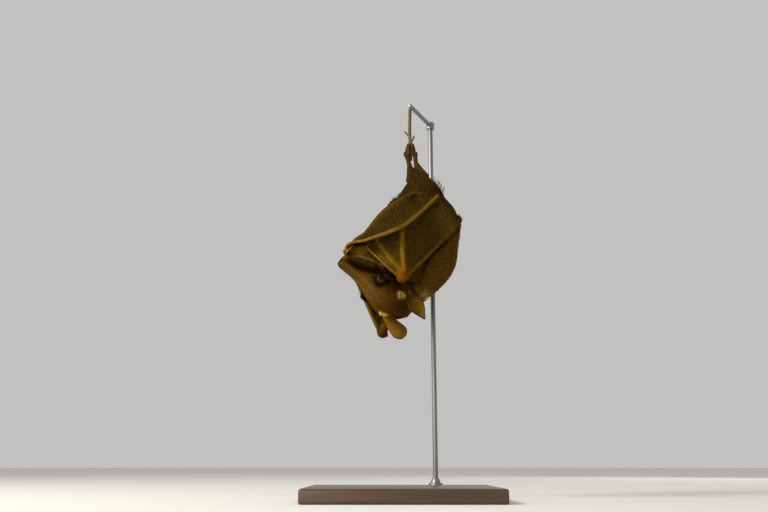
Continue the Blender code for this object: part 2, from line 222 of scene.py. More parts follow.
ROD, ARM, BOSS = 1.6 * MM, 1.3 * MM, 2.7 * MM
ROD_FOOT, COLLAR_FOOT, COLLAR_TOP = 7.6 * MM, 7.8 * MM, 12 * MM
rod_low, rod_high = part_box("stand_rod")
arm_low, arm_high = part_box("stand_arm")
rod_x, rod_y = (rod_low.x + rod_high.x) / 2, (rod_low.y + rod_high.y) / 2
arm_z = (arm_low.z + arm_high.z) / 2
boss_top = min(arm_z + 2.1 * MM, rod_high.z - 0.05 * MM)
arm_tip = (arm_low.x + ARM * 0.6, arm_low.y + 0.6 * MM, arm_z)
form = bmesh.new()
turned(form, (rod_x, rod_y, ROD_FOOT), (rod_x, rod_y, rod_high.z),
       [(0, ROD), (0.996, ROD), (0.999, ROD * 0.85), (1, ROD * 0.5)])
turned(form, (rod_x, rod_y, COLLAR_FOOT), (rod_x, rod_y, COLLAR_TOP),
       [(0, 4.4 * MM), (0.2, 4.4 * MM), (0.3, 4.1 * MM), (0.36, 3.2 * MM), (0.8, 2.6 * MM), (1, 2.0 * MM)])
turned(form, (rod_x, rod_y, arm_z - 3 * MM), (rod_x, rod_y, boss_top),
       [(0, 2.1 * MM), (0.06, BOSS), (0.94, BOSS), (1, 2.1 * MM)])
turned(form, (rod_x, rod_y, arm_z), arm_tip,
       [(0, ARM), (0.985, ARM), (0.995, ARM * 0.85), (1, ARM * 0.5)])
mesh = mesh_from("stand_rods", form)
mesh.shade_smooth()
mesh.set_sharp_from_angle(angle=math.radians(40))
rods = shown("stand_rods", mesh)
steel, tree, shader = new_finish("brushed_steel", 0.45, Metallic=1.0)
streak = speckle(tree, 900, stretch=(1, 1, 0.03))
painted(tree, shader, blended(tree, streak, (0.20, 0.20, 0.205), (0.30, 0.30, 0.30)))
raised(tree, shader, streak, 0.2, 0.03 * MM)
mesh.materials.append(steel)
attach(rods, "root")
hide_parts("stand_rod", "stand_arm")

# ---------------------------------------------------------------------------------------------
# Twig. The cut length of green-brown stem that the bat grips: it swells at each leaf joint,
# carries two broken leaf stalks, and shows pale wood at its cut ends.

# middle x, y, z and radius in millimetres, from the lower cut end up
TWIG = [(7.2, 9.4, 211, 1.1), (6.9, 9.4, 220, 1.1), (6.9, 9.4, 223.3, 1.25), (6.7, 9.35, 226, 1.05),
        (6.6, 9.3, 228, 1.2), (6.5, 9.2, 232, 1.05), (6.9, 9, 246.8, 1.1)]
STALKS = [[(6.9, 9.4, 223.3, 0.75), (8.4, 10.1, 225.6, 0.55), (9.6, 10.6, 228.4, 0.5)],
          [(6.6, 9.3, 227.9, 0.75), (4.9, 9.9, 229.6, 0.55), (3.4, 10.4, 231.8, 0.5)]]


def eased(rows, count):
    """Rows of numbers as a finer array that passes smoothly through each of them."""
    rows = np.array(rows, float)
    spots = np.linspace(0, len(rows) - 1, count)
    first = np.minimum(spots.astype(int), len(rows) - 2)
    t = (spots - first)[:, None]
    before, here = rows[np.maximum(first - 1, 0)], rows[first]
    there, after = rows[first + 1], rows[np.minimum(first + 2, len(rows) - 1)]
    rise = (there - before) / np.where(first == 0, 1, 2)[:, None]
    fall = (after - here) / np.where(first == len(rows) - 2, 1, 2)[:, None]
    return ((2 * t**3 - 3 * t**2 + 1) * here + (t**3 - 2 * t**2 + t) * rise
            + (3 * t**2 - 2 * t**3) * there + (t**3 - t**2) * fall)


def unit(vectors):
    return vectors / np.maximum(np.linalg.norm(vectors, axis=-1, keepdims=True), 1e-9)


def loft(rings):
    """Points and faces of a closed form through rings of points, each end closed by a pole."""
    count, sides = rings.shape[:2]
    points = np.concatenate([rings.reshape(-1, 3), rings[0].mean(0)[None], rings[-1].mean(0)[None]])
    i, j = np.meshgrid(np.arange(count - 1), np.arange(sides), indexing="ij")
    i, j = i.ravel() * sides, j.ravel()
    k = (j + 1) % sides
    faces = np.stack([i + j, i + k, i + sides + k, i + sides + j], 1).tolist()
    last = (count - 1) * sides
    for j in range(sides):
        k = (j + 1) % sides
        faces.append((count * sides, k, j))
        faces.append((count * sides + 1, last + j, last + k))
    return points, faces


def circle(sides):
    """The turns of evenly spaced points round a ring."""
    return np.linspace(0, 2 * math.pi, sides, endpoint=False)


def along_line(rows, sides):
    """Rings round a smooth line of (x, y, z, radius) rows, rounded off at both ends."""
    middle, radius = rows[:, :3], rows[:, 3]
    ahead = unit(np.gradient(middle, axis=0))
    side = unit(np.cross(ahead[0], (0.31, 0.52, 0.79)))
    sideways = []
    for way in ahead:
        side = unit(side - way * side.dot(way))
        sideways.append(side)
    sideways = np.array(sideways)
    upward = np.cross(ahead, sideways)
    angle = circle(sides)
    ring = (np.cos(angle)[None, :, None] * sideways[:, None]
            + np.sin(angle)[None, :, None] * upward[:, None])
    rings = [middle[0] - ahead[0] * radius[0] * math.sin(a) + ring[0] * radius[0] * math.cos(a)
             for a in (1.35, 0.9, 0.45)]
    rings += list(middle[:, None] + ring * radius[:, None, None])
    rings += [middle[-1] + ahead[-1] * radius[-1] * math.sin(a) + ring[-1] * radius[-1] * math.cos(a)
              for a in (0.45, 0.9, 1.35)]
    return np.array(rings)


def mesh_of(name, forms, scale=MM):
    """One mesh of several (points, faces) forms."""
    points, faces, start = [], [], 0
    for form_points, form_faces in forms:
        points.append(form_points)
        faces += [[start + i for i in face] for face in form_faces]
        start += len(form_points)
    made = bpy.data.meshes.new(name)
    made.from_pydata((np.concatenate(points) * scale).tolist(), [], faces)
    made.update()
    return made


def attribute(mesh, name, kind, values):
    """Keeps values on a mesh's points, for its material to read."""
    made = mesh.attributes.new(name, kind, "POINT")
    field = {"FLOAT": "value", "FLOAT_VECTOR": "vector", "FLOAT_COLOR": "color"}[kind]
    made.data.foreach_set(field, np.ascontiguousarray(values, np.float32).ravel())


def read(tree, name, output="Fac"):
    """What a material reads from an attribute of its mesh."""
    return add(tree, "Attribute", attribute_name=name).outputs[output]


def blunt_twig(rows, count, sides):
    """A twig with flat cut ends, its bark lightly fluted."""
    rings = along_line(eased(rows, count), sides)[3:-3]
    middle = rings.mean(1, keepdims=True)
    turn = circle(sides)[None, :, None]
    height = rings[:, :, 2:3]
    flute = 1 + 0.05 * np.sin(5 * turn + 0.12 * height) + 0.03 * np.sin(9 * turn - 0.4 * height)
    rings = middle + (rings - middle) * flute
    ends = [rings[0] * (1 - s) + middle[0] * s for s in (0.96, 0.5, 0.08)]
    tail = [rings[-1] * (1 - s) + middle[-1] * s for s in (0.08, 0.5, 0.96)]
    return loft(np.concatenate([np.array(ends), rings, np.array(tail)]))


mesh = mesh_of("twig", [blunt_twig(TWIG, 90, 28)] + [blunt_twig(rows, 24, 14) for rows in STALKS])
heights = np.array([v.co.z for v in mesh.vertices]) / MM
endways = np.array([abs(v.normal.z) for v in mesh.vertices]) > 0.8
attribute(mesh, "cut", "FLOAT", endways & ((heights > TWIG[-1][2] - 0.8) | (heights < TWIG[0][2] + 0.7)))
mesh.shade_smooth()
mesh.set_sharp_from_angle(angle=math.radians(50))
twig = shown("twig", mesh)
bark, tree, shader = new_finish("bark", 0.8)
grain = speckle(tree, 1500, detail=4, stretch=(1, 1, 0.14))
tone = blended(tree, grain, (0.052, 0.03, 0.014), (0.15, 0.10, 0.05))
tone = blended(tree, speckle(tree, 380), tone, (0.10, 0.085, 0.03))
painted(tree, shader, blended(tree, read(tree, "cut"), tone, (0.42, 0.30, 0.15)))
raised(tree, shader, grain, 0.6, 0.2 * MM)
mesh.materials.append(bark)
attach(twig, "root")
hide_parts("perch")

# ---------------------------------------------------------------------------------------------
# Skin: trunk, neck, head and limbs. One closed hide covers the whole bat, as on a mount; each
# part is shaped on its own here, lower than the tips of its coat by that coat's depth.

BELLY = unit(np.array([-0.67, -0.74, 0]))
RIGHT = unit(np.array([0.74, -0.67, 0]))
# height, middle x and y, half width, half depth
TRUNK = [(207.5, 9.8, 8.6, 1.0, 1.0), (203.5, 11.2, 9, 3.5, 3.6), (198.5, 13.2, 10, 6.9, 7.2),
         (191, 13.6, 11.5, 13.2, 12.4), (180, 10.2, 13, 17.2, 15), (165, 7, 14.5, 16.4, 15),
         (150, 4.5, 16, 15, 14.5), (138, 3.5, 16, 13, 13), (128, 3.5, 15, 9, 9), (122, 3.5, 14, 2.5, 2.5)]
EYES_MIDDLE = np.array([-16.6, -4.8, 124.3])
FORWARD = unit(np.array([-0.77, -0.27, 0.58]))
CROWN = np.array([-0.33, -0.61, -0.73])
CROWN = unit(CROWN - CROWN.dot(FORWARD) * FORWARD)
LEFT = np.cross(CROWN, FORWARD)
HEAD_WAYS = np.array([FORWARD, LEFT, CROWN])
# distance ahead of the eyes, half width, height over the axis, depth under it
HEAD = [(26.4, 3.2, 2, 3), (25.2, 4.8, 2.8, 4.8), (20, 5.4, 3, 6), (12, 6.1, 3.4, 7), (5, 7.8, 5.2, 8.2),
        (-1, 9.8, 7.4, 9.2), (-9, 12, 9.4, 10), (-16, 11.8, 9, 9.6), (-23, 8.4, 6.6, 7.4), (-27.5, 3, 2.4, 3)]
COAT_DEPTH = {"trunk": 1.3, "neck": 1.2, "throat": 1.1, "head": 0.7, "jaw": 0.6, "arm": 0.9, "shank": 0.3}
THINNEST = 0.4
WRIST = {"right": (0.4, -15, 127.4), "left": (-11.2, 17, 100.8)}
ELBOW = {"right": (37.4, 21.5, 173.8), "left": (8.5, 40, 166)}
SHOULDER = {"right": (9, 8, 121.5), "left": (2, 20, 121)}
KNEE = {"right": (15.6, 8.6, 198.5), "left": (7.6, 10.8, 198)}
ANKLE = {"right": (10.4, 7.2, 208.4), "left": (6.2, 7.6, 208)}
UPPER_ARM = {"right": [(17.4, 9, 131, 8.4), (25.4, 12.5, 143, 9.3), (31.2, 17, 158, 6.6)],
             "left": [(5, 27, 131, 7.6), (8.6, 33.5, 144, 7.4), (9.4, 38, 155, 5.6)]}


def in_head(ahead, left, up):
    """A place in millimetres from between the eyes."""
    return EYES_MIDDLE + FORWARD * ahead + LEFT * left + CROWN * up


def sections(table, count, sides, depth, place):
    """Rings of a form through oval sections, drawn in by the depth of its coat."""
    angle = circle(sides)
    return np.array([place(row, np.cos(angle)[:, None], np.sin(angle)[:, None], depth)
                     for row in eased(table, count)])


def trunk_ring(row, across, out, depth):
    wide, deep = max(row[3] - depth, THINNEST), max(row[4] - depth, THINNEST)
    return np.array([row[1], row[2], row[0]]) + RIGHT * across * wide + BELLY * out * deep


def head_ring(row, across, rise, depth):
    high = np.where(rise > 0, max(row[2] - depth, THINNEST), max(row[3] - depth, THINNEST))
    middle = in_head(row[0] - 0.02 * depth * row[0], 0, 0)
    return middle + LEFT * across * max(row[1] - depth, THINNEST) + CROWN * rise * high


parts = []              # of each grown part: its region, its form, and the way its coat lies


def grow(region, form, lie):
    """Keeps one part of the body, with the lie of its coat as one way or one for each point."""
    ways = np.broadcast_to(unit(np.asarray(lie, float)), form[0].shape)
    parts.append((region, form, ways))


def limb(region, points, count=28, sides=24, thinner=0.0):
    """A round limb; its coat lies along it, away from its first point."""
    rows = eased(points, count)
    rows[:, 3] -= thinner
    rings = along_line(rows, sides)
    ways = unit(np.gradient(rings.mean(1), axis=0))
    ways = np.repeat(ways, sides, axis=0)
    grow(region, loft(rings), np.concatenate([ways, ways[:1], ways[-1:]]))


def lump(region, place, radius):
    """A ball of flesh on the head."""
    rows = np.array([[*(place - 0.01 * FORWARD), radius], [*place, radius]])
    grow(region, loft(along_line(rows, 18)), -FORWARD)


grow("trunk", loft(sections(TRUNK, 90, 72, COAT_DEPTH["trunk"], trunk_ring)), (0, 0, 1))
grow("head", loft(sections(HEAD, 80, 64, COAT_DEPTH["head"], head_ring)), -FORWARD)
limb("jaw", [(*in_head(22, 0, -4.6), 2.7), (*in_head(15.5, -0.5, -8.8), 4.5),
             (*in_head(7.5, -0.5, -11.4), 6)], thinner=COAT_DEPTH["jaw"])
limb("neck", [(*in_head(-15, 0, -1.5), 5), (1, 4.4, 116.4, 8.8), (4, 13.4, 127.6, 10.2)],
     thinner=COAT_DEPTH["neck"])
limb("throat", [(*in_head(13, -0.3, -17.5), 5), (*in_head(4, -0.5, -13.6), 6.4),
                (-9.6, 5.4, 138.5, 7.8), (0, 11.5, 143, 8)], thinner=COAT_DEPTH["throat"])
for out in (-1, 1):
    lump("nose", in_head(24.6, out * 1.6, 0.2), 1.9)
    lump("head", in_head(-5, out * 5.4, -4.4), 5.2)                           # chewing muscle
    limb("jaw", [(*in_head(23.5, out * 2.0, -2.6), 1.6), (*in_head(17, out * 3.1, -4.2), 2.6),
                 (*in_head(8, out * 4.4, -6.6), 3.6)], count=20, sides=18)    # full upper lip
for side in ("right", "left"):
    limb("arm", [(*SHOULDER[side], 6.5)] + UPPER_ARM[side] + [(*ELBOW[side], 3.0)],
         count=40, sides=32, thinner=COAT_DEPTH["arm"])
    limb("shank", [(*KNEE[side], 3.6), (*ANKLE[side], 1.5)],
         count=16, sides=20, thinner=COAT_DEPTH["shank"])

# ---------------------------------------------------------------------------------------------
# Skin: cream tufts. In front of each ear's root a pad of pale woolly fur stands proud, parted
# into three lobes side by side; they are part of the hide, and cream hair is set into them.

TUFT_MIDDLES = [(-14.9, -11.3, 2.6), (-14.6, 4.6, 8.4)]           # ahead, left and up in the head
LOBE_STEP = 1.8


def on_crown(ahead, left, up, over):
    """A place on the head's surface in line with one near it, raised a little over it."""
    rows = eased(HEAD, 80)[::-1]
    wide, high = (np.interp(ahead, rows[:, 0], rows[:, k]) for k in (1, 2))
    depth = COAT_DEPTH["head"]
    reach = math.hypot(left / (wide - depth + over), up / (high - depth + over))
    return in_head(ahead, left / reach, up / reach)


lobe_lines = []
for ahead, left, up in TUFT_MIDDLES:
    for step in range(3):
        across = (step - 1.0) * LOBE_STEP
        rows = [(*on_crown(ahead - 0.77 * across - 0.58 * down, left + 0.38 * down - 0.5 * across,
                           up - 0.33 * across + 0.72 * down, 0.75), radius)
                for down, radius in ((-1.7 + 0.3 * step, 0.5), (0.1, 0.95 - 0.08 * step),
                                     (1.6 - 0.35 * step, 0.5))]
        limb("cream", rows, count=12, sides=12)
        lobe_lines.append(eased(rows, 14)[:, :3])

# ---------------------------------------------------------------------------------------------
# Skin: ears. Thin leaves of gristle and bare skin with a darker rim, rolled into a cup at the
# root and opening out towards the tip.

EAR_SKIN = 0.8
ROOT_CURL, TIP_CURL = 110, 45           # degrees that each half of the leaf is rolled through
# root, tip, way the hollow faces told from the head, half width, where it is widest, where the
# end begins to close, and how pointed it is
EARS = {"right": ((4.8, -4.5, 119.4), (14.6, -8.7, 103.8), (0.35, -0.85, 0), 5.6, 0.43, 0.3, 0.85),
        "left": ((-9.4, 8.8, 110), (1.4, 12.2, 95.6), (0.05, 0.9, -0.35), 4.9, 0.75, 0.7, 0.5)}


def sheet(middle, thickness):
    """A closed skin round a grid of points, given as an array of across by along by xyz."""
    across, along = middle.shape[:2]
    ways = unit(np.cross(np.gradient(middle, axis=0), np.gradient(middle, axis=1)))
    points = np.concatenate([(middle + ways * thickness / 2).reshape(-1, 3),
                             (middle - ways * thickness / 2).reshape(-1, 3)])
    index = np.arange(across * along).reshape(across, along)
    top = np.stack([index[:-1, :-1], index[1:, :-1], index[1:, 1:], index[:-1, 1:]], -1).reshape(-1, 4)
    rim = np.concatenate([index[:, 0], index[-1, 1:], index[-2::-1, -1], index[0, -2:0:-1]])
    after, half = np.roll(rim, -1), across * along
    faces = top.tolist() + (top[:, ::-1] + half).tolist()
    faces += np.stack([after, rim, rim + half, after + half], 1).tolist()
    return (points, faces), ways


def spread(across, along, start=0.0):
    """Shares of the way across and along a sheet, at each of its points."""
    return np.meshgrid(np.linspace(0, 1, across), np.linspace(start, 1, along), indexing="ij")


def ear_sheet(root, tip, hollow, half_width, widest, closing, point):
    """The middle of a leaf rolled into a cup, open towards the hollow's way."""
    root, tip = np.array(root), np.array(tip)
    ahead, length = unit(tip - root), np.linalg.norm(tip - root)
    faces = FORWARD * hollow[0] + LEFT * hollow[1] + CROWN * hollow[2]
    faces = unit(faces - faces.dot(ahead) * ahead)
    across = np.cross(ahead, faces)
    u, v = spread(36, 52, -0.15)
    wide = half_width * (0.55 + 0.45 * np.sin(math.pi / 2 * np.clip(v / widest, 0, 2)))
    end = np.clip(v - closing, 0, 1) / (1 - closing)
    wide = wide * (np.clip(1 - end ** 2, 0, 1) ** point * 0.94 + 0.06)
    half_bend = np.radians(ROOT_CURL - (ROOT_CURL - TIP_CURL) * np.clip(v, 0, 1))
    roll = wide / half_bend * 1.35
    bend = half_bend * (2 * u - 1)
    return (root + v[..., None] * ahead * length + across * (roll * np.sin(bend))[..., None]
            - faces * (roll * (np.cos(bend) - 0.35))[..., None])


ear_rims = []
for root, tip, *shape in EARS.values():
    middle = ear_sheet(root, tip, *shape)
    grow("ear", sheet(middle, EAR_SKIN)[0], np.array(tip) - np.array(root))
    ear_rims += [middle[0], middle[:, -1], middle[-1]]

# ---------------------------------------------------------------------------------------------
# Skin: body as one. The parts run into each other as flesh does: they are grown together, the
# dips between them are eased, and the mouth, nostrils and hollows are cut into the face.


def points_of(mesh, what="co"):
    values = np.empty(len(mesh.vertices) * 3, np.float32)
    mesh.vertices.foreach_get(what, values)
    return values.reshape(-1, 3).astype(float)


def put_points(mesh, places):
    mesh.vertices.foreach_set("co", places.ravel().astype(np.float32))
    mesh.update()


def edges_of(mesh):
    values = np.empty(len(mesh.edges) * 2, np.int32)
    mesh.edges.foreach_get("vertices", values)
    return values.reshape(-1, 2)


def eased_surface(values, ends, share):
    """Moves each point's values by a share of the way to the mean of its neighbours' values."""
    total = np.zeros_like(values)
    count = np.bincount(ends.ravel(), minlength=len(values))
    for k in range(values.shape[1]):
        total[:, k] = (np.bincount(ends[:, 0], values[ends[:, 1], k], len(values))
                       + np.bincount(ends[:, 1], values[ends[:, 0], k], len(values)))
    return values + share * (total / np.maximum(count, 1)[:, None] - values)


def smooth_rise(low, high, values):
    share = np.clip((values - low) / (high - low), 0, 1)
    return share * share * (3 - 2 * share)


def worked(made):
    """The mesh that an object's modifiers give; the object itself is taken away."""
    mesh = bpy.data.meshes.new_from_object(made.evaluated_get(bpy.context.evaluated_depsgraph_get()))
    bpy.data.objects.remove(made)
    return mesh


def grown_together(name, forms, voxel, rounds):
    """The forms as one surface, its lumps eased for some rounds, still in millimetres."""
    made = shown(name, mesh_of(name, forms, 1))
    step = made.modifiers.new("one_surface", "REMESH")
    step.mode = "VOXEL"
    step.voxel_size = voxel
    mesh = worked(made)
    places, ends = points_of(mesh), edges_of(mesh)
    for _ in range(rounds):
        places = eased_surface(eased_surface(places, ends, 0.5), ends, -0.52)
    put_points(mesh, places)
    return mesh


def head_place(places):
    """How far each place is ahead, left and up from between the eyes."""
    return HEAD_WAYS @ (places - EYES_MIDDLE).T


def mouth_at(ahead):
    """The height of the line between the lips."""
    return np.interp(ahead, [3, 8, 14, 20, 25.5], [-8.2, -7.2, -5.6, -4.0, -2.7])


def bell(values, middle, width):
    """1 at the middle, fading to 0 on both sides over a width."""
    return np.exp(-((values - middle) / width) ** 2)


def sculpt_head(places, ways):
    """Cuts the mouth, nostrils and hollows of the face, and raises its lips."""
    ahead, left, up = head_place(places)
    push = np.zeros(len(places))
    side_on = smooth_rise(0.25, 0.6, np.abs(ways @ LEFT))
    over_mouth = up - mouth_at(ahead)
    in_mouth = smooth_rise(3, 6, ahead) * (1 - smooth_rise(25.6, 26.4, ahead)) * side_on
    push -= 0.75 * bell(over_mouth, 0, 0.55) * in_mouth                        # between the lips
    push += 0.45 * bell(over_mouth, 1.5, 0.9) * in_mouth                       # upper lip
    push += 0.35 * bell(over_mouth, -1.5, 0.8) * in_mouth                      # lower lip
    loose = smooth_rise(5, 9, ahead) * (1 - smooth_rise(19, 23, ahead)) * side_on
    push -= 0.45 * bell(over_mouth + 3.1 - 0.06 * (ahead - 14), 0, 0.5) * loose    # fold of the throat
    push -= (0.55 * np.exp(-((ahead - 13) / 5.5) ** 2 - ((up - 0.3) / 1.5) ** 2)
             * smooth_rise(0.3, 0.8, side_on))                                 # hollow before the eye
    # the groove between the nostrils, and the dip along the bridge before the eyes
    push -= 0.4 * bell(left, 0, 0.7) * smooth_rise(23.5, 25.5, ahead) * smooth_rise(-3, -1, up)
    push -= 0.35 * np.exp(-((left / 1.6) ** 2) - ((ahead - 4) / 6) ** 2) * smooth_rise(0, 3, up)
    places = places + ways * push[:, None]
    for sign in (-1, 1):
        nostril = in_head(26.3, sign * 2.1, 0.7)
        sunk = 1.7 * bell(np.linalg.norm(places - nostril, axis=1), 0, 0.95)
        places = places - unit(FORWARD + 0.6 * sign * LEFT) * sunk[:, None]
    return places


body = grown_together("body", [form for region, form, ways in parts], voxel=0.55, rounds=9)
put_points(body, sculpt_head(points_of(body), points_of(body, "normal")))

# ---------------------------------------------------------------------------------------------
# Skin: wings. Bare flight skin held by the thin bones of the fingers, folded round the body; the
# bones show through as ridges, the outer flap is puckered in fine ribs, and the rest hangs in
# soft folds. The back edges dive into the fur of the flank and rump.

FLIGHT_SKIN = 0.75
KNUCKLE = 0.97          # share of a finger's length that the skin reaches
OUTWARD = {"right": np.array([3.0, -3, 0]), "left": np.array([-3.0, 2, 0])}
# finger joints from the wrist outward, each with the radius there
FINGERS = {
    "right": {
        "2": [(-1.9, -15.2, 128.8, 1.1), (-10.5, -13, 137, 1.1), (-20.6, -7, 148.4, 0.9)],
        "3": [(-0.6, -14.2, 130.2, 1.2), (-11, -11, 139.5, 1.4), (-20.6, -1, 152.4, 1.3), (-14, 7, 163, 0.8)],
        "4": [(0.8, -15.4, 130.8, 1.2), (-6.6, -14.6, 140, 1.3), (-14.4, -8.6, 154.6, 1.2),
              (-9, -1, 168, 0.8)],
        "5": [(2, -16.6, 130, 1.2), (1, -18.6, 142, 1.4), (0.6, -16.4, 160, 1.2), (2.6, -5, 176, 0.8)],
    },
    "left": {
        "2": [(-14.4, 14, 102.8, 1.2), (-26, 7.4, 128, 1.1), (-34.8, -2.4, 147.4, 0.9)],
        "3": [(-13.6, 16.8, 104, 1.3), (-24.8, 10.6, 128, 1.4), (-33.8, 1.2, 150, 1.1),
              (-20, -18, 150.2, 1.2), (-7, -25.4, 152.8, 1.5), (3, -23.5, 158.2, 1.2),
              (13, -16.5, 168.6, 1.1), (23, -7, 181.4, 1.35)],
        "4": [(-12, 18.6, 104.4, 1.2), (-22.5, 14.5, 130, 1.3), (-30, 6.4, 152.4, 1.3),
              (-21.4, -2, 159.6, 1.2), (-13.4, -6, 169, 1.1), (-5.5, -10, 174.8, 1.0),
              (9.2, -9.5, 183.2, 0.8)],
        "5": [(-9.8, 20, 103.6, 1.2), (-18, 20, 132, 1.3), (-21, 17, 158, 1.2), (-5.6, 15, 185, 0.8)],
    },
}
# how thick each finger shows through the skin, as a share of the finger itself
FINGER_SHOWS = {"right": {"2": 0.85, "3": 0.8, "4": 0.8, "5": 0.9},
                "left": {"2": 1.0, "3": 0.8, "4": 0.85, "5": 1.0}}
THUMBS = {"right": [(0.4, -15, 127.4, 1.2), (3.4, -10, 129.4, 1.2), (5.4, -7.0, 131.2, 1.0)],
          "left": [(-11.4, 16.6, 100.8, 3.6), (-10.8, 16.8, 99.4, 3.4), (-9.2, 19.4, 98.8, 1.6)]}
# the left wing folds over the snout: first the skin at its corner, then the palm behind it, each
# told by the ends of its upper and lower edges and its thickness
CORNERS = [([-33.2, 2.6, 149.0], [-28.5, -8.0, 149.8], [-34.0, -0.4, 145.8], [-32.0, -6, 146.0], 0.6),
           ([-33.6, 1.6, 150.2], [-17.0, -1.5, 152.0], [-31.0, 0.5, 145.0], [-19.0, 0.5, 144.0], 0.7)]


def line_of(rows):
    """Reads a smooth line through (x, y, z) rows at shares of its way."""
    fine = eased([row[:3] for row in rows], 160)
    spots = np.linspace(0, 1, len(fine))
    return lambda share: np.stack([np.interp(share, spots, fine[:, k]) for k in range(3)], -1)


def trunk_reach(places, clearance=0.0):
    """How far out each point is from the trunk's middle, with 1 at its surface, and the ways out."""
    rows = eased(TRUNK, 300)[::-1]
    height = places[..., 2]
    x, y, wide, deep = (np.interp(height, rows[:, 0], rows[:, k]) for k in (1, 2, 3, 4))
    off = places - np.stack([x, y, height], -1)
    side, front = off @ RIGHT, off @ BELLY
    reach = np.hypot(side / (wide + clearance), front / (deep + clearance))
    beside = (height < TRUNK[0][0]) & (height > TRUNK[-1][0])
    return np.where(beside, reach, 9), RIGHT * side[..., None] + BELLY * front[..., None]


def clear_of_trunk(places, clearance):
    """Moves points that lie in the trunk straight out from its middle until they are clear."""
    reach, out = trunk_reach(places, clearance)
    return places + out * np.where(reach < 1, 1 / np.maximum(reach, 0.05) - 1, 0)[..., None]


def web(line_a, line_b, bulge, start=0.04, scallop=0.04, folds=0.0, sinks=False, across=40, along=90):
    """The middle of a membrane between two lines, with soft folds that fan out along it.

    One that sinks dives into the fur of the body at its far edge.
    """
    u, v = spread(across, along)
    share = (start + (KNUCKLE - start) * v) * (1 - scallop * np.sin(math.pi * u) * v)
    spot = line_a(share) * (1 - u[..., None]) + line_b(share) * u[..., None]
    swell = np.sin(math.pi * u) * (0.3 + 0.7 * v)
    fold = folds * np.sin(u * 17 + 1.3 * np.sin(3 * v)) * np.sin(math.pi * u) * v
    spot = spot + bulge * swell[..., None] + unit(bulge) * fold[..., None]
    return clear_of_trunk(spot, 2.2 - 4.4 * smooth_rise(0.72, 0.98, v) * sinks)


def flap_end(line_a, line_b):
    """The flap's last piece of skin, tucked down from between two fingertips into the rump's fur."""
    u, v = spread(40, 40)
    share = KNUCKLE * (1 - 0.04 * np.sin(math.pi * u))
    near = line_a(share) * (1 - u[..., None]) + line_b(share) * u[..., None]
    rump = np.array([14.0, 8, 187]) * (1 - u[..., None]) + np.array([8.0, 6, 190]) * u[..., None]
    spot = near * (1 - v[..., None]) + rump * v[..., None]
    return clear_of_trunk(spot, 1.5 - 5.0 * smooth_rise(0.0, 0.4, v))


# region, places, each one's millimetres across and along and share of the way across, and the
# way out of the skin there
wing_marks = []


def membrane(forms, region, middle, thickness=FLIGHT_SKIN):
    """Adds a membrane to a wing's forms and keeps where its places lie across and along it."""
    form, ways = sheet(middle, thickness)
    forms.append(form)
    along = np.linalg.norm(np.diff(middle, axis=1, prepend=middle[:, :1]), axis=-1).cumsum(1)
    across = np.linalg.norm(np.diff(middle, axis=0, prepend=middle[:1]), axis=-1).cumsum(0)
    share = np.broadcast_to(np.linspace(0, 1, middle.shape[0])[:, None], across.shape)
    grid = np.stack([across, along, share], -1)
    wing_marks.append((region, middle.reshape(-1, 3), grid.reshape(-1, 3), ways.reshape(-1, 3)))


def bone(forms, region, rows, count, sides=18):
    """Adds a bone to a wing's forms and keeps how far along it its places lie."""
    fine = eased(rows, count)
    forms.append(loft(along_line(fine, sides)))
    length = np.linalg.norm(np.diff(fine[:, :3], axis=0, prepend=fine[:1, :3]), axis=-1).cumsum()
    grid = np.stack([np.zeros(count), length, np.zeros(count)], -1)
    ring = along_line(fine, 6)[3:-3].reshape(-1, 3)
    wing_marks.append((region, ring, np.repeat(grid, 6, 0), np.zeros((len(ring), 3))))


def wing(side):
    """The bones and membranes of one wing."""
    wrist, elbow, knee = (np.array(place[side], float) for place in (WRIST, ELBOW, KNEE))
    forms = []
    for finger, joints in FINGERS[side].items():
        joints = [(*joint[:3], joint[3] * FINGER_SHOWS[side][finger]) for joint in joints]
        bone(forms, "finger", [(*wrist, 1.4)] + joints, 24 * len(joints))
    bone(forms, "wrist", [(*(wrist + (0, 0, 0.2)), 3.3), (*(wrist + (0.2, 0, 1.6)), 3.6)], 8)
    bone(forms, "forearm", [(*wrist, 2.9), (*(wrist * 0.5 + elbow * 0.5), 3.2),
                            (*(wrist * 0.22 + elbow * 0.78), 4.9), (*elbow, 2.5)], 60, 24)
    bone(forms, "finger", THUMBS[side], 14)
    lines = {finger: line_of(joints) for finger, joints in FINGERS[side].items()}
    flank = line_of([wrist, elbow, knee])
    arm_front = line_of([wrist, (wrist + elbow) / 2, elbow])
    arm_back = line_of([wrist, UPPER_ARM[side][0][:3], elbow])
    out = OUTWARD[side]
    membrane(forms, "arm_web", web(lines["5"], flank, out, folds=0.35, sinks=True, across=70))
    membrane(forms, "web_45", web(lines["4"], lines["5"], out * 0.2, folds=0.2, sinks=side == "right"))
    membrane(forms, "web_34", web(lines["3"], lines["4"], out * 0.2, along=160))
    membrane(forms, "front_web", web(arm_front, arm_back, out * -0.75, start=0.02, scallop=0, folds=0.7))
    if side == "left":
        membrane(forms, "flap_end", flap_end(lines["3"], lines["4"]))
        membrane(forms, "web_23", web(lines["2"], line_of(FINGERS[side]["3"][:3]), out * 0.1, scallop=0))
        u, v = (share[..., None] for share in spread(24, 24))
        for *ends, thickness in CORNERS:
            near, far, low_near, low_far = np.array(ends)
            middle = (near * (1 - u) + far * u) * (1 - v) + (low_near * (1 - u) + low_far * u) * v
            membrane(forms, "web_23", middle, thickness)
    return forms


def nearest(places, marks):
    """For each place the number of the nearest of the marked places, and how far it is."""
    tree = KDTree(len(marks))
    for i, mark in enumerate(marks):
        tree.insert(mark, i)
    tree.balance()
    found = [tree.find(place)[1:] for place in places]
    return np.array([f[0] for f in found]), np.array([f[1] for f in found])


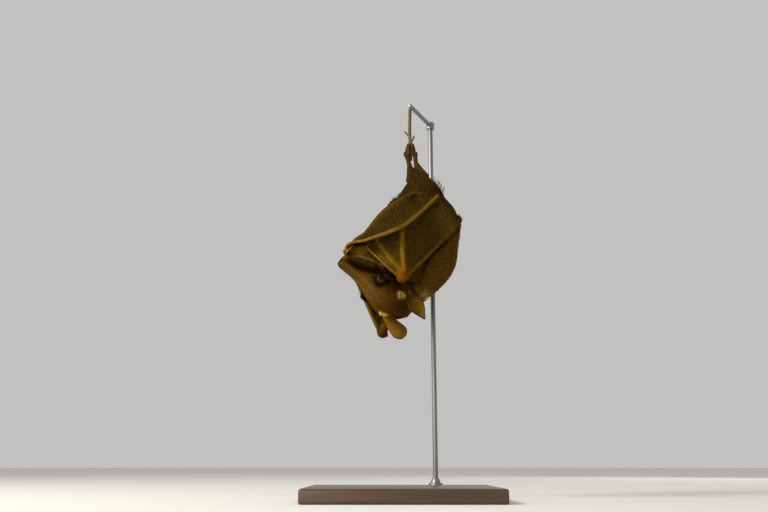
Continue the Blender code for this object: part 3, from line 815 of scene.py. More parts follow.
RIB_DEPTH = {"right": 0.06, "left": 0.30}
PUCKER_DEPTH = 0.06


def ribs(across, along):
    """The fine ribs that run across the flap, from -1 to 1, a little uneven."""
    return np.sin(along * 3.3 + 0.9 * np.sin(across * 0.8) + 0.6 * np.sin(along * 0.7))


def wrinkle(side, mesh, marks):
    """Ribs the outer flap between its two fingers, and puckers the other webs more faintly."""
    places = points_of(mesh)
    regions, spots, grid, ways = zip(*marks)
    near, _ = nearest(places, np.concatenate(spots))
    region = np.repeat(regions, [len(some) for some in spots])[near]
    across, along, share = np.concatenate(grid)[near].T
    depth = np.where(region == "web_34", RIB_DEPTH[side], PUCKER_DEPTH)
    depth = np.where(np.isin(region, ("arm_web", "web_45", "web_34", "front_web", "web_23")), depth, 0)
    inner = np.sin(math.pi * np.clip(share, 0, 1)) ** 0.7
    wave = ribs(across, along)
    wave += 0.5 * np.sin(along * 2.1 + across * 1.1)
    put_points(mesh, places + np.concatenate(ways)[near] * (depth * inner * wave)[:, None])


wings = {}
for side in ("right", "left"):
    first_mark = len(wing_marks)
    wings[side] = grown_together("wing_" + side, wing(side), voxel=0.48, rounds=2)
    wrinkle(side, wings[side], wing_marks[first_mark:])

# ---------------------------------------------------------------------------------------------
# Skin: feet. A narrow sole of bare skin and five toes that run up the twig and hook round it; a
# bat's toes lock by its own weight, and on the mount they carry it.

GRIP, STEM_MIDDLE = 215, (6.95, 9.4)
FIRST_TOE, TOE_STEP = 19, 21            # degrees round the twig
claw_roots = []


def foot(side):
    """The sole and toes of one foot, its claws' lines being kept for later."""
    sign = 1 if side == "right" else -1

    def round_stem(angle, distance, height):
        return np.array([STEM_MIDDLE[0] + sign * distance * math.sin(angle),
                         STEM_MIDDLE[1] - distance * math.cos(angle), height])

    sole = round_stem(math.radians(FIRST_TOE + 2 * TOE_STEP), 3.3, GRIP)
    ankle = np.array(ANKLE[side], float)
    forms = [loft(along_line(eased([(*(ankle - (0, 0, 1.2)), 1.35), (*(ankle * 0.5 + sole * 0.5), 1.45),
                                    (*sole, 1.8)], 14), 16))]
    for toe in range(5):
        angle = math.radians(FIRST_TOE + TOE_STEP * toe)
        rise = GRIP + 2.2 - 0.35 * abs(toe - 2)
        rows = [(*round_stem(angle, 3.2, GRIP - 0.8), 0.72), (*round_stem(angle, 2.95, rise), 0.6),
                (*round_stem(angle, 2.7, rise + 1.6), 0.68), (*round_stem(angle, 2.5, rise + 3), 0.52),
                (*round_stem(angle, 2.3, rise + 4.0), 0.5)]
        forms.append(loft(along_line(eased(rows, 24), 14)))
        claw_roots.append([(*round_stem(angle, 2.35, rise + 3.6), 0.36),
                           (*round_stem(angle, 2.25, rise + 4.5), 0.33),
                           (*round_stem(angle, 1.85, rise + 5.3), 0.2),
                           (*round_stem(angle, 1.25, rise + 5.5), 0.04)])
    return forms


foot_forms = {side: foot(side) for side in ("right", "left")}
feet = {side: grown_together("foot_" + side, forms, voxel=0.3, rounds=3)
        for side, forms in foot_forms.items()}

# ---------------------------------------------------------------------------------------------
# Skin: eyelids. A thick dark rim of bare skin round each eyeball, drawn out to a point at the
# front and back corners; it lies against the glass all round, so that no gap shows.

SIDES = (("right", -1), ("left", 1))
EYE_WAY = {side: unit(FORWARD * 0.42 + LEFT * 0.88 * sign + CROWN * 0.25) for side, sign in SIDES}
# share of the way out from the lid's edge, and height over the middle of the eyeball
LID = [(0.0, 3.2), (0.1, 3.5), (0.25, 3.72), (0.45, 3.78), (0.7, 3.62), (1.0, 3.1),
       (0.8, 2.7), (0.4, 2.8), (0.1, 2.9)]
LID_WIDTH = 34          # degrees round the eyeball
LID_EDGE = 67           # degrees from the middle of the glass to the edge at either corner
FRONT_CORNER, BACK_CORNER = 13, 6       # degrees that the corners are drawn out further


def eye_middle(side):
    low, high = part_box("eye_" + side)
    return np.array((low + high) / 2) / MM


def lids(side):
    """A closed ring of skin whose opening has two corners."""
    middle, way = eye_middle(side), EYE_WAY[side]
    front = unit(FORWARD - FORWARD.dot(way) * way)
    over = np.cross(way, front)
    rings = []
    for turn in circle(72):
        back = abs(turn - math.pi)
        ahead = min(turn, 2 * math.pi - turn)
        corners = FRONT_CORNER * math.exp(-(ahead / 0.3) ** 2), BACK_CORNER * math.exp(-(back / 0.35) ** 2)
        edge = LID_EDGE - 5 * abs(math.sin(turn)) + corners[0] + corners[1]
        out = math.cos(turn) * front + math.sin(turn) * over
        opening = np.radians([edge + LID_WIDTH * share for share, height in LID])
        rings.append([middle + height * (math.cos(a) * way + math.sin(a) * out)
                      for a, (share, height) in zip(opening, LID)])
    rings = np.array(rings)
    count, rim = rings.shape[:2]
    faces = [(i * rim + j, (i + 1) % count * rim + j, (i + 1) % count * rim + (j + 1) % rim,
              i * rim + (j + 1) % rim) for i in range(count) for j in range(rim)]
    made = mesh_of("lids_" + side, [(rings.reshape(-1, 3), faces)], 1)
    form = bmesh.new()
    form.from_mesh(made)
    if form.calc_volume(signed=True) < 0:
        bmesh.ops.reverse_faces(form, faces=form.faces)
    form.to_mesh(made)
    form.free()
    return made


# ---------------------------------------------------------------------------------------------
# Skin: the whole hide. Body, wings, feet and lids are joined into one closed skin with no seam,
# which is then thinned to a fair number of triangles.

SKIN_TRIANGLES = 194_000


def joined(whole, other):
    """The union of two closed meshes in millimetres."""
    one, two = shown("one", whole), shown("two", other)
    step = one.modifiers.new("join", "BOOLEAN")
    step.operation = "UNION"
    step.solver = "MANIFOLD"
    step.object = two
    mesh = worked(one)
    bpy.data.objects.remove(two)
    return mesh


hide = body
for grown in (wings["right"], wings["left"], feet["right"], feet["left"], lids("right"), lids("left")):
    hide = joined(hide, grown)
hide.calc_loop_triangles()
whole = shown("whole", hide)
step = whole.modifiers.new("thin_out", "DECIMATE")
step.ratio = min(1, SKIN_TRIANGLES / len(hide.loop_triangles))
hide = worked(whole)
places, ends = points_of(hide), edges_of(hide)

# ---------------------------------------------------------------------------------------------
# Skin: cover. What grows on each part of the hide: its colour, how furry it is from 0 to 1, and
# its coat's length in millimetres. Neighbouring parts run softly into each other.

COVER = {
    "trunk": ((0.066, 0.032, 0.005), 1.0, 4.2), "neck": ((0.095, 0.045, 0.006), 1.0, 4.6),
    "throat": ((0.12, 0.060, 0.009), 1.0, 3.6), "head": ((0.155, 0.070, 0.005), 1.0, 1.8),
    "jaw": ((0.13, 0.062, 0.008), 0.9, 1.5), "nose": ((0.105, 0.04, 0.008), 0.0, 1.0),
    "ear": ((0.185, 0.090, 0.007), 0.1, 1.2), "arm": ((0.150, 0.074, 0.006), 0.9, 4.0),
    "shank": ((0.085, 0.044, 0.007), 0.9, 1.7), "foot": ((0.062, 0.030, 0.007), 0.0, 1.0),
    "finger": ((0.155, 0.085, 0.008), 0.0, 1.0), "wrist": ((0.19, 0.066, 0.003), 0.0, 1.0),
    "forearm": ((0.165, 0.088, 0.006), 0.1, 1.6), "web": ((0.050, 0.026, 0.0012), 0.0, 1.2),
    "cream": ((0.98, 0.62, 0.13), 1.0, 1.0),
}
REGIONS = list(COVER)


def covers(region):
    """A region's number; all the membranes count as web."""
    return REGIONS.index(region if region in COVER else "web")


# marks over the whole hide: region, places, lie of the coat, and each place's millimetres across
# and along a web and its share of the way across
marks = [(kind, form[0], ways, np.zeros((len(form[0]), 3))) for kind, form, ways in parts]
marks += [(kind, spots, np.full((len(spots), 3), (0, 0, 0.5)), grid) for kind, spots, grid, _ in wing_marks]
for forms in foot_forms.values():
    spots = np.concatenate([form[0] for form in forms])
    marks.append(("foot", spots, np.full((len(spots), 3), (0, 0, 1.0)), np.zeros((len(spots), 3))))
kinds, spots, lies, grids = zip(*marks)
near, _ = nearest(places, np.concatenate(spots))
region = np.repeat([covers(kind) for kind in kinds], [len(some) for some in spots])[near]
grid = np.concatenate(grids)[near]
table = np.array([(*colour, furry, length) for colour, furry, length in COVER.values()])
cover = np.column_stack([table[region], np.concatenate(lies)[near]])
for _ in range(5):
    cover = eased_surface(cover, ends, 0.6)
tone, furry, length, lie = cover[:, :3], cover[:, 3], cover[:, 4], unit(cover[:, 5:8])
on_web = region == covers("web")

# ---------------------------------------------------------------------------------------------
# Skin: markings with painted light and shade. Dark lids, a pale neck band and rusty wrists; muzzle
# sides darker, partly with painted shade; painted shade on the nape and in the hollows; painted
# light on the bridge, the jaw's edge and in shaded places of the left wing; and painted light
# and shade along the edges of the folded wings, laid one over another.

# near black: the lids' own dark rims, and painted shade in the nostrils
DARK_RIM_AND_SHADE = (0.004, 0.002, 0.001)


def toward(colour, share):
    """Turns the hide's colour toward another by a share for each point."""
    tone[:] = tone * (1 - share[:, None]) + np.array(colour) * share[:, None]


def spot_on(centre, reach):
    """1 at a place, fading to 0 over a reach."""
    return bell(np.linalg.norm(places - np.array(centre), axis=1), 0, reach)


def off_line(line):
    """How far each point is from the nearest point of a line."""
    return nearest(places, line)[1]


# the face; each mark hides those before it
ahead, left, up = head_place(places)
over_mouth = up - mouth_at(ahead)
on_head = np.isin(region, [covers(kind) for kind in ("head", "jaw", "nose", "throat")])
cheek = np.interp(ahead, [4, 13, 21], [-4.0, -1.0, 1.0])
toward((0.008, 0.003, 0.0006), 0.94 * on_head * smooth_rise(0, 6, ahead) * (1 - smooth_rise(22, 26, ahead))
       * np.exp(-(np.abs(up - cheek) / 3.3) ** 3) * smooth_rise(1.8, 4.0, np.abs(left)))  # side of the muzzle: darker skin, with painted shade over it
toward((0.27, 0.15, 0.035), 0.55 * on_head * bell(np.abs(left), 2.5, 3)
       * smooth_rise(1, 3, up) * smooth_rise(-8, 2, ahead))                             # painted light on the bridge, where the top of the snout is lit
toward((0.55, 0.38, 0.14), 0.85 * on_head * bell(over_mouth, -5.6, 1.3)
       * smooth_rise(4, 8, ahead) * (1 - smooth_rise(23, 25, ahead)))                   # painted highlight along the top-lit edge of the jaw
ridge = off_line(line_of(FINGERS["left"]["4"])(np.linspace(0.35, 1, 60)))
toward((0.075, 0.040, 0.003), 0.75 * (1 - smooth_rise(1.6, 3.0, ridge)))                # left finger's ridge
lips = on_head * bell(over_mouth, 0, 0.6) * smooth_rise(3, 6, ahead)
toward((0.02, 0.009, 0.004), 0.9 * lips)
furry = furry * (1 - lips) * (1 - on_head * smooth_rise(23.6, 25.0, ahead))
for sign in (-1, 1):
    toward((0.018, 0.006, 0.001), 0.8 * spot_on(in_head(-8, sign * 10, -0.5), 6.0))     # painted shade behind the eye
    toward((0.06, 0.026, 0.002), 0.7 * spot_on(in_head(5, sign * 7, 3.5), 3.5))         # before the eye
    rim = np.linalg.norm(places - in_head(-0.2, sign * 8.6, 1.4), axis=1)
    toward(DARK_RIM_AND_SHADE, 0.98 * (1 - smooth_rise(3.9, 4.8, rim)))                           # lids
    furry *= smooth_rise(3.9, 4.5, rim)
    canthus = bell(up, 1.2, 0.9) * (sign * left > 5) * (1 - smooth_rise(5.0, 7.5, ahead))
    toward(DARK_RIM_AND_SHADE, 0.95 * canthus * smooth_rise(1.5, 2.5, ahead))                     # corner of the eye
    toward(DARK_RIM_AND_SHADE, np.minimum(1, 1.3 * spot_on(in_head(25.0, sign * 1.7, 0.6), 1.5)))  # painted shade in the nostril's opening

# colour, strength, and the places with each one's reach
SPOTS = [
    ((0.62, 0.40, 0.11), 0.9, [(13.5, 2.5, 119.4, 2.6), (15.6, 7, 117.2, 3.4)]),        # pale neck band
    ((0.03, 0.012, 0.002), 0.7, [(*in_head(25.5, -1, -3.0), 3.2)]),                     # chin and lip's tip
    ((0.014, 0.005, 0.001), 0.9, [(-8, -6.5, 131, 5.0)]),                               # painted shade at the angle of the jaw
    ((0.010, 0.003, 0.001), 0.93, [(-3.6, -9.5, 125.6, 6.4)]),                          # painted shadow under the wrist
    ((0.010, 0.004, 0.001), 0.92, [(8.0, -3.2, 120.0, 3.6)]),                           # painted shade in the mouth of the ear
    ((0.02, 0.01, 0.003), 0.9, [(39, 19.5, 175.5, 3.0)]),                               # point of the elbow
    ((0.30, 0.13, 0.008), 0.8, [(-33, -1.5, 148.5, 5.0), (-24, 0, 147, 6)]),            # painted light through the thin skin at the flap's corner and palm
    ((0.22, 0.09, 0.005), 0.9, [(-11, 12, 104.5, 5.5)]),                                # painted light in the shaded hollow over the left wrist
    ((0.16, 0.075, 0.004), 0.75, [(-20, 11, 116, 8)]),                                  # left fingers' roots
    ((0.028, 0.008, 0.0006), 0.93, [(-11.0, 15, 98.5, 5.5)]),                           # left wrist
    ((0.03, 0.011, 0.001), 0.75, [(*in_head(-22, 2, 6.5), 7),
                                  (*in_head(-19, -5, 7), 7)]),                          # painted shade on the nape
    ((0.03, 0.011, 0.001), 0.5, [(*in_head(-18.5, -9, 4.5), 5)]),                       # painted shade by the right ear
]
for colour, strength, spots in SPOTS:
    toward(colour, strength * np.max([spot_on(spot, reach) for *spot, reach in spots], axis=0))
toward((0.05, 0.026, 0.002), 0.85 * (region == covers("forearm"))
       * smooth_rise(146, 158, places[:, 2]))                                           # forearm by the elbow
toward((0.085, 0.045, 0.002), 0.7 * on_web * spot_on((26, 6, 174), 8))                  # web by the elbow
toward((0.11, 0.056, 0.003), 0.85 * spot_on((32, 12, 166), 8.5))                        # before the elbow
toward((0.15, 0.050, 0.001), 0.9 * spot_on((0.4, -16, 128), 6.2))                       # right wrist
second, third = (line_of(FINGERS["right"][name][:3])(np.linspace(0.12, 0.95, 90)) for name in ("2", "3"))
shade_between_fingers = off_line((second + third) / 2)
toward((0.010, 0.005, 0.0004), 0.85 * (1 - smooth_rise(0.5, 1.2, shade_between_fingers)))              # painted shade in the crease between two fingers

# painted light on the upper edge of the right forearm, painted shade in the crease under it, and painted
# shadows under the left wing's flap and at its end
wrist, elbow = np.array(WRIST["right"]), np.array(ELBOW["right"])
way = np.linspace(0.06, 0.86, 90)[:, None]
beside = np.array([-0.78, -0.1, 0.62])
lit = off_line(wrist + way * (elbow - wrist) + beside * (2.3 + 4.2 * smooth_rise(0.5, 0.9, way)))
toward((0.26, 0.145, 0.008), 0.75 * (1 - smooth_rise(0.8, 2.4, lit)))                   # painted light on the forearm's upper edge
under = off_line(eased(np.array(FINGERS["left"]["3"])[3:8, :3] + (0.8, 3.0, -2.4), 120))
toward((0.012, 0.006, 0.0005), 0.7 * on_web * (1 - smooth_rise(1.2, 3.2, under)))       # painted shadow under the flap
toward((0.010, 0.005, 0.001), 0.85 * spot_on((6.5, -11, 179), 3.2))                     # painted shadow in the hollow at the end of the flap
shade_under_forearm = off_line(wrist + way * (elbow - wrist) - beside * (3.4 + 1.6 * way))
toward((0.012, 0.006, 0.001), 0.9 * (1 - smooth_rise(0.9, 2.6, shade_under_forearm)))                  # painted shade in the crease under the forearm

_, flap_places, flap_grid, _ = [mark for mark in wing_marks if mark[0] == "web_34"][1]   # left wing's
near_flap, off_flap = nearest(places, flap_places)
across, along, share = flap_grid[near_flap].T
on_flap = (1 - smooth_rise(0.6, 1.2, off_flap)) * np.sin(math.pi * np.clip(share, 0, 1)) ** 0.5
furrow_shade = smooth_rise(-0.1, 0.9, -ribs(across, along))
toward((0.024, 0.014, 0.002), on_flap * (0.38 + 0.55 * furrow_shade))                         # flap darker, with painted shade in the furrows of its puckers

# the rump's coat runs out over the roots of the wings, with an uneven edge
x, y, z = places.T
edge = 4 * np.sin(x * 0.9) + 3 * np.sin(x * 2.3 + y)
shaggy = on_web * (1 - smooth_rise(1.05, 1.35, trunk_reach(places)[0])) * smooth_rise(172, 190, z + edge)
shaggy *= smooth_rise(-2, 6, x + y)
for _ in range(4):
    shaggy = eased_surface(shaggy[:, None], ends, 0.6)[:, 0]
toward((0.062, 0.029, 0.005), shaggy)
furry = np.maximum(furry, shaggy * 0.9)
length = length + shaggy * (COVER["trunk"][2] - length)

# painted shade in the gaps between the lobes of the cream tufts, and a dark rim round each ear
off_lobe = off_line(np.concatenate(lobe_lines))
toward((0.10, 0.045, 0.006), 0.9 * (region == covers("cream")) * smooth_rise(0.75, 1.1, off_lobe))
off_rim = off_line(np.concatenate(ear_rims))
toward((0.02, 0.011, 0.006), (region == covers("ear")) * bell(off_rim, 0, 0.75))

# ---------------------------------------------------------------------------------------------
# Skin: finish. Soft matt leather, mottled and finely wrinkled along the webs where it is bare,
# and fuzzy with underfur where the coat grows over it.

put_points(hide, places * MM)
attribute(hide, "tone", "FLOAT_COLOR", np.column_stack([tone, np.ones(len(tone))]))
attribute(hide, "furry", "FLOAT", furry)
attribute(hide, "grid", "FLOAT_VECTOR", grid)
hide.shade_smooth()
skin = shown("skin", hide)


def shaded(tree, colour, factor):
    """A colour made lighter or darker by a factor."""
    grey = add(tree, "CombineColor", {"Red": factor, "Green": factor, "Blue": factor}).outputs[0]
    return blended(tree, 1.0, colour, grey, "MULTIPLY")


def reckoned(tree, operation, *values):
    """A sum done by the material on numbers or other nodes' outputs."""
    return add(tree, "Math", dict(enumerate(values)), operation=operation).outputs[0]


leather, tree, shader = new_finish("hide", 0.6, Specular_IOR_Level=0.015)
fuzz = read(tree, "furry")
crinkle = add(tree, "Mapping", {"Vector": read(tree, "grid", "Vector"), "Scale": (0.35, 1.5, 0)}).outputs[0]
crinkle = add(tree, "TexNoise", {"Vector": crinkle, "Scale": 1.0, "Detail": 4.0}).outputs["Fac"]
mottle = ranged(tree, speckle(tree, 330, detail=4), 0.3, 0.7, 0.72, 1.25)
# the colour is darker in the grooves of the fine wrinkles and lighter on their crests, painted shade and
# light; the mottle is the skin's own
factor = reckoned(tree, "MULTIPLY", mottle, ranged(tree, crinkle, 0.35, 0.65, 0.85, 1.12))
painted(tree, shader, shaded(tree, read(tree, "tone", "Color"), factor))
tree.links.new(ranged(tree, fuzz, 0.0, 1.0, 0.55, 0.9), shader.inputs["Roughness"])
wrinkles = reckoned(tree, "MULTIPLY", crinkle, reckoned(tree, "SUBTRACT", 1.0, fuzz))
underfur = speckle(tree, 2600, detail=2)
raised(tree, shader, reckoned(tree, "MULTIPLY_ADD", underfur, 0.35, wrinkles), 0.55, 0.35 * MM)
hide.materials.clear()
hide.materials.append(leather)
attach(skin, "root")
FLESH = [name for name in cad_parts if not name.startswith(("stand", "eye", "perch"))]
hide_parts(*FLESH)

# ---------------------------------------------------------------------------------------------
# Eyes. Glass balls as a taxidermist sets them: a black pupil in a dark amber iris, under a clear
# bulging front, sunk behind the rims of the lids.

EYE_RADIUS = 3.15
# share of the way from the eye's front to its side, and the colour there
IRIS = [(0.27, (0.002, 0.002, 0.002, 1)), (0.34, (0.030, 0.014, 0.002, 1)), (0.46, (0.055, 0.026, 0.003, 1)),
        (0.56, (0.018, 0.007, 0.001, 1)), (0.66, (0.004, 0.002, 0.001, 1))]
glass, tree, shader = new_finish("eye_glass", 0.15, Specular_IOR_Level=0.08, Coat_Weight=0.1,
                                 Coat_Roughness=0.02)
shader.inputs["Specular Tint"].default_value = (1, 0.72, 0.4, 1)
shader.inputs["Coat Tint"].default_value = (1, 0.60, 0.22, 1)
ramp = add(tree, "ValToRGB", {"Fac": ranged(tree, read(tree, "off_axis"), 0.0, 90.0)})
stops = ramp.color_ramp.elements
stops[0].position, stops[0].color = 0.0, (0.002, 0.002, 0.002, 1)
stops[1].position, stops[1].color = 1.0, (0.008, 0.005, 0.004, 1)
for place, colour in IRIS:
    stops.new(place).color = colour
painted(tree, shader, ramp.outputs["Color"])

for side, _ in SIDES:
    middle = eye_middle(side)
    form = bmesh.new()
    bmesh.ops.create_uvsphere(form, u_segments=48, v_segments=32, radius=1)
    turn = Vector(EYE_WAY[side]).to_track_quat("Z", "Y")
    off_axis = []
    for vert in form.verts:
        bulge = 1 + 0.05 * float(smooth_rise(0.75, 0.95, np.array(vert.co.z)))
        off_axis.append(math.degrees(math.acos(max(-1, min(1, vert.co.z)))))
        vert.co = Vector(middle * MM) + turn @ vert.co * (EYE_RADIUS * bulge * MM)
    mesh = mesh_from("eyeball_" + side, form)
    attribute(mesh, "off_axis", "FLOAT", np.array(off_axis))
    mesh.shade_smooth()
    ball = shown("eyeball_" + side, mesh)
    mesh.materials.append(glass)
    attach(ball, "root")
    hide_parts("eye_" + side)

# ---------------------------------------------------------------------------------------------
# Claws. Curved horn hooks on the ten toes, the two thumbs and the two second fingers, each set
# into the skin of its digit; the horn is mottled from near black to amber.

claw_roots += [
    [(-20.2, -7.4, 148.3, 0.8), (-21.5, -7.2, 147.8, 0.75), (-22.6, -6.4, 146.8, 0.5),
     (-22.8, -5.6, 145.6, 0.08)],
    [(-34.2, -1.6, 147.0, 0.6), (-33.4, -1.2, 145.6, 0.45), (-32.4, -1.0, 144.8, 0.08)],
    [(5.4, -6.6, 131.2, 0.8), (6.8, -4.2, 132.0, 0.6), (7.6, -2.9, 131.4, 0.08)],
    [(-9.4, 19.2, 98.8, 1.3), (-8.4, 20.8, 98.6, 0.85), (-7.6, 22.2, 99.8, 0.1)],
]
mesh = mesh_of("claws", [loft(along_line(eased(rows, 18), 14)) for rows in claw_roots])
mesh.shade_smooth()
claws = shown("claws", mesh)
horn, tree, shader = new_finish("horn", 0.45, Specular_IOR_Level=0.08)
band = speckle(tree, 1200)
painted(tree, shader, blended(tree, band, (0.045, 0.018, 0.003), (0.16, 0.065, 0.006)))
raised(tree, shader, band, 0.2, 0.05 * MM)
mesh.materials.append(horn)
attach(claws, "root")

# ---------------------------------------------------------------------------------------------
# Coat. Soft golden-brown fur, short and flat on the face, longer and woollier on the trunk. Each
# tuft is a thin bent spike set into the hide; all lie from nose to tail, as the bat grooms them.

chance = np.random.default_rng(4)
hide.calc_loop_triangles()
corners = np.empty(len(hide.loop_triangles) * 3, np.int32)
hide.loop_triangles.foreach_get("vertices", corners)
corners = corners.reshape(-1, 3)
hide_ways = points_of(hide, "normal")
a, b, c = (places[corners[:, k]] for k in range(3))
area = np.linalg.norm(np.cross(b - a, c - a), axis=1) / 2
over_hide = BVHTree.FromPolygons(places.tolist(), corners.tolist())

# region: tuft width, layers that overlap, how far it stands off the hide in degrees
TUFTS = {"trunk": (0.29, 2.3, 8), "neck": (0.34, 2.6, 14), "throat": (0.38, 2.6, 15), "head": (0.26, 2.5, 9),
         "jaw": (0.25, 2.6, 11), "arm": (0.36, 2.6, 14), "shank": (0.24, 2.4, 9), "forearm": (0.24, 0.6, 9),
         "ear": (0.22, 0.5, 10), "cream": (0.26, 3.2, 20), "web": (0.34, 2.2, 10)}
NO_TUFTS = (0.3, 0.0, 10)
style = np.array([TUFTS.get(name, NO_TUFTS) for name in REGIONS])
width_at, layers_at, stand_at = style[region].T
thick = np.where(on_web, furry ** 1.5, np.minimum(1, furry + 0.3))
crowd = layers_at * (furry > np.where(on_web, 0.03, 0.12)) * thick / (length * width_at * 0.55)


def roots_in(names):
    """Random roots over some regions: their triangles' corners and the weight of each corner."""
    wanted = np.isin(region, [covers(name) for name in names])
    many = area * (crowd * wanted)[corners].mean(1)
    count = int(many.sum())
    chosen = chance.choice(len(corners), count, p=many / many.sum())
    a, b = chance.random((2, count))
    flip = a + b > 1
    a, b = np.where(flip, 1 - a, a), np.where(flip, 1 - b, b)
    return corners[chosen], np.stack([1 - a - b, a, b], 1)


def at_roots(values, rooted):
    """What the hide's values come to at each root."""
    near_corners, weights = rooted
    if values.ndim > 1:
        weights = weights[..., None]
    return (values[near_corners] * weights).sum(1)


def open_to_air(spots, ways, reach):
    """False where another part of the hide lies close over a spot."""
    return np.array([over_hide.ray_cast(Vector(spot + way * 0.4), Vector(way), reach)[0] is None
                     for spot, way in zip(spots, ways)])


def on_hide(spots):
    """The nearest places on the hide and the ways out of it there."""
    found = [over_hide.find_nearest(Vector(spot)) for spot in spots]
    return np.array([hit[0] for hit in found]), unit(np.array([hit[1] for hit in found]))


PATCH = 0.003           # how much of the unwrap one tuft takes
ROOT_DEPTH = 0.25
# a spike's seven points, three round its root, three round its bend and its tip: the share of the
# way along it, how far sideways, and how bright
ALONG = np.array([0, 0, 0, 0.5, 0.5, 0.5, 1])
SIDEWAYS = np.array([-0.5, 0.5, 0, -0.35, 0.35, 0, 0])
BRIGHT = np.array([0.75, 0.75, 0.8, 1, 1, 1.05, 1.2])
SPIKE_QUADS = np.array([(1, 0, 3, 4), (2, 1, 4, 5), (0, 2, 5, 3)])
SPIKE_TRIS = np.array([(4, 3, 6), (5, 4, 6), (3, 5, 6), (0, 1, 2)])


def spikes(name, spots, ways, lies, long, wide, stand, colours, unwrap, streaks=0.1):
    """A coat piece of thin bent spikes, each closed, with a patch of its own on the unwrap."""
    count = len(spots)
    lies = unit(lies - ways * (lies * ways).sum(1, keepdims=True))
    across = np.cross(lies, ways)
    turn = chance.normal(0, 0.22, count)[:, None]
    lies, across = lies * np.cos(turn) + across * np.sin(turn), across * np.cos(turn) - lies * np.sin(turn)
    long, wide, stand = long[:, None], wide[:, None], stand[:, None]
    base = spots - ways * ROOT_DEPTH
    middle = spots + lies * long * 0.5 * np.cos(stand) + ways * long * 0.5 * np.sin(stand) * 1.2
    tip = spots + lies * long * np.cos(stand) + ways * long * np.sin(stand) * 0.75
    points = np.stack([base - across * wide / 2, base + across * wide / 2, base + ways * wide * 0.5,
                       middle - across * wide * 0.36, middle + across * wide * 0.36,
                       middle + ways * wide * 0.34, tip], 1)
    start = np.arange(count)[:, None, None] * 7
    loops = np.concatenate([(SPIKE_QUADS + start).reshape(count, -1),
                            (SPIKE_TRIS + start).reshape(count, -1)], 1)
    mesh = bpy.data.meshes.new(name)
    mesh.vertices.add(count * 7)
    mesh.vertices.foreach_set("co", (points * MM).ravel().astype(np.float32))
    mesh.loops.add(loops.size)
    mesh.loops.foreach_set("vertex_index", loops.ravel().astype(np.int32))
    mesh.polygons.add(count * 7)
    sizes = np.tile([4, 4, 4, 3, 3, 3, 3], count)
    mesh.polygons.foreach_set("loop_start", np.concatenate([[0], sizes.cumsum()[:-1]]).astype(np.int32))
    mesh.update(calc_edges=True)
    patch = unwrap[:, None, :] * 0.99 + PATCH + PATCH * np.stack([SIDEWAYS, ALONG], 1)[None]
    layer = mesh.uv_layers.new(name="OFBake")
    layer.data.foreach_set("uv", patch.reshape(-1, 2)[loops.ravel()].ravel().astype(np.float32))
    streak = np.exp(chance.normal(0, 1, (count, 1, 1)) * np.reshape(streaks, (-1, 1, 1)))
    colours = np.clip(colours[:, None, :] * (streak * BRIGHT[None, :, None]), 0.002, 1)
    attribute(mesh, "tone", "FLOAT_COLOR", np.concatenate([colours, np.ones((count, 7, 1))], 2))
    mesh.shade_smooth()
    mesh.materials.append(fur)
    made = shown(name, mesh)
    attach(made, "root")


def round_axis(start, end):
    """Unwraps places round a line: the turn about it and the way along it, each from 0 to 1."""
    start, end = np.array(start, float), np.array(end, float)
    ahead, length = unit(end - start), np.linalg.norm(end - start)
    side = unit(np.cross(ahead, (0.2, 0.9, 0.4)))
    over = np.cross(ahead, side)

    def unwrap(spots):
        off = spots - start
        turn = np.arctan2(off @ side, off @ over) / (2 * math.pi) + 0.5
        return np.stack([turn * 0.98 + 0.01, np.clip(off @ ahead / length, 0, 1) * 0.98 + 0.01], 1)

    return unwrap


fur, tree, shader = new_finish("fur", 0.75, Specular_IOR_Level=0.05)
strand = ranged(tree, speckle(tree, 1900, detail=2), 0.3, 0.7, 0.8, 1.2)
painted(tree, shader, shaded(tree, read(tree, "tone", "Color"), strand))

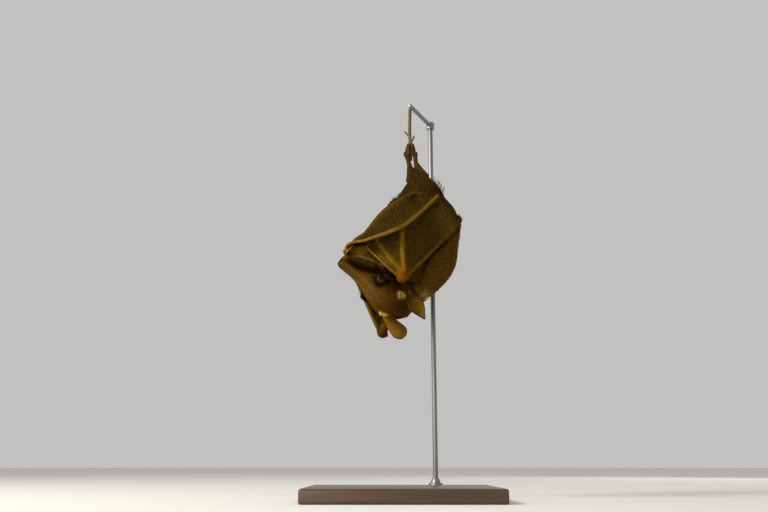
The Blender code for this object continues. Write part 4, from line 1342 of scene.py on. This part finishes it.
round_head = round_axis(in_head(-30, 0, 0), in_head(28, 0, 0))
round_trunk = round_axis((7, 14, 118), (8, 11, 210))
COATS = {
    "coat_head": (("head",), round_head),
    "coat_face": (("jaw", "ear", "cream"), round_head),
    "coat_neck": (("neck", "throat"), round_axis((-2, 4, 108), (2, 10, 152))),
    "coat_trunk": (("trunk", "web"), round_trunk),
    "coat_arms": (("arm", "forearm"), round_axis((9, 8, 115), (36, 22, 180))),
    "coat_legs": (("shank",), round_axis((10, 9, 190), (8, 8, 212))),
}
NECK_BAND = (15.6, 5.5, 118)
for name, (names, unwrap) in COATS.items():
    rooted = roots_in(names)
    spots, facing = at_roots(places, rooted), unit(at_roots(hide_ways, rooted))
    free = open_to_air(spots, facing, 2.0)
    rooted = (rooted[0][free], rooted[1][free])
    spots, facing = spots[free], facing[free]
    long = at_roots(length, rooted) * chance.uniform(0.7, 1.2, len(spots))
    wide = at_roots(width_at, rooted) * chance.uniform(0.8, 1.2, len(spots))
    stand = np.radians(at_roots(stand_at, rooted) * chance.uniform(0.5, 1.6, len(spots)))
    off_band = np.linalg.norm(spots - NECK_BAND, axis=1)
    spikes(name, spots, facing, at_roots(lie, rooted), long, wide, stand, at_roots(tone, rooted),
           unwrap(spots), 0.1 + 0.6 * bell(off_band, 0, 7))

# ---------------------------------------------------------------------------------------------
# Guard hairs. A few long dark hairs that stand out of the shorter coat at the edge of the rump,
# each rooted in the hide under the wool.

count = 55
spots = np.array([26.0, 8, 190.5]) + chance.normal(0, 1, (count, 3)) * (1.2, 2.2, 3.0)
spots, facing = on_hide(spots)
spikes("guard_hairs", spots, facing, np.tile((0.45, 0.1, 0.8), (count, 1)), chance.uniform(5, 8.5, count),
       np.full(count, 0.22), np.radians(chance.uniform(25, 50, count)),
       np.tile((0.05, 0.025, 0.008), (count, 1)), round_trunk(spots))

# ---------------------------------------------------------------------------------------------
# Whiskers. Stiff dark hairs on the lips and a few over each eye, by which the bat feels its way
# among fruit; they are swept back and stand well off the skin.

# middle of each patch in the head, how many hairs, and how far they scatter ahead, left and up
WHISKERS = [((19, 5.2, -1.5), 12, (3.0, 0.8, 1.6)), ((5, 5.4, 4.2), 9, (2.4, 0.8, 0.8))]
rows = []
for sign in (-1, 1):
    for (ahead, left, up), number, scatter in WHISKERS:
        for _ in range(number):
            off = chance.normal(0, 0.6, 3) * scatter
            rows.append([*(in_head(ahead, sign * left, up) + off @ HEAD_WAYS),
                         *(-0.5 * FORWARD + 0.7 * sign * LEFT + 0.35 * CROWN)])
rows = np.array(rows)
spots, facing = on_hide(rows[:, :3])
spikes("whiskers", spots, facing, rows[:, 3:], chance.uniform(4, 6.5, len(rows)), np.full(len(rows), 0.14),
       np.radians(chance.uniform(35, 60, len(rows))), np.tile((0.02, 0.010, 0.004), (len(rows), 1)),
       round_head(spots))
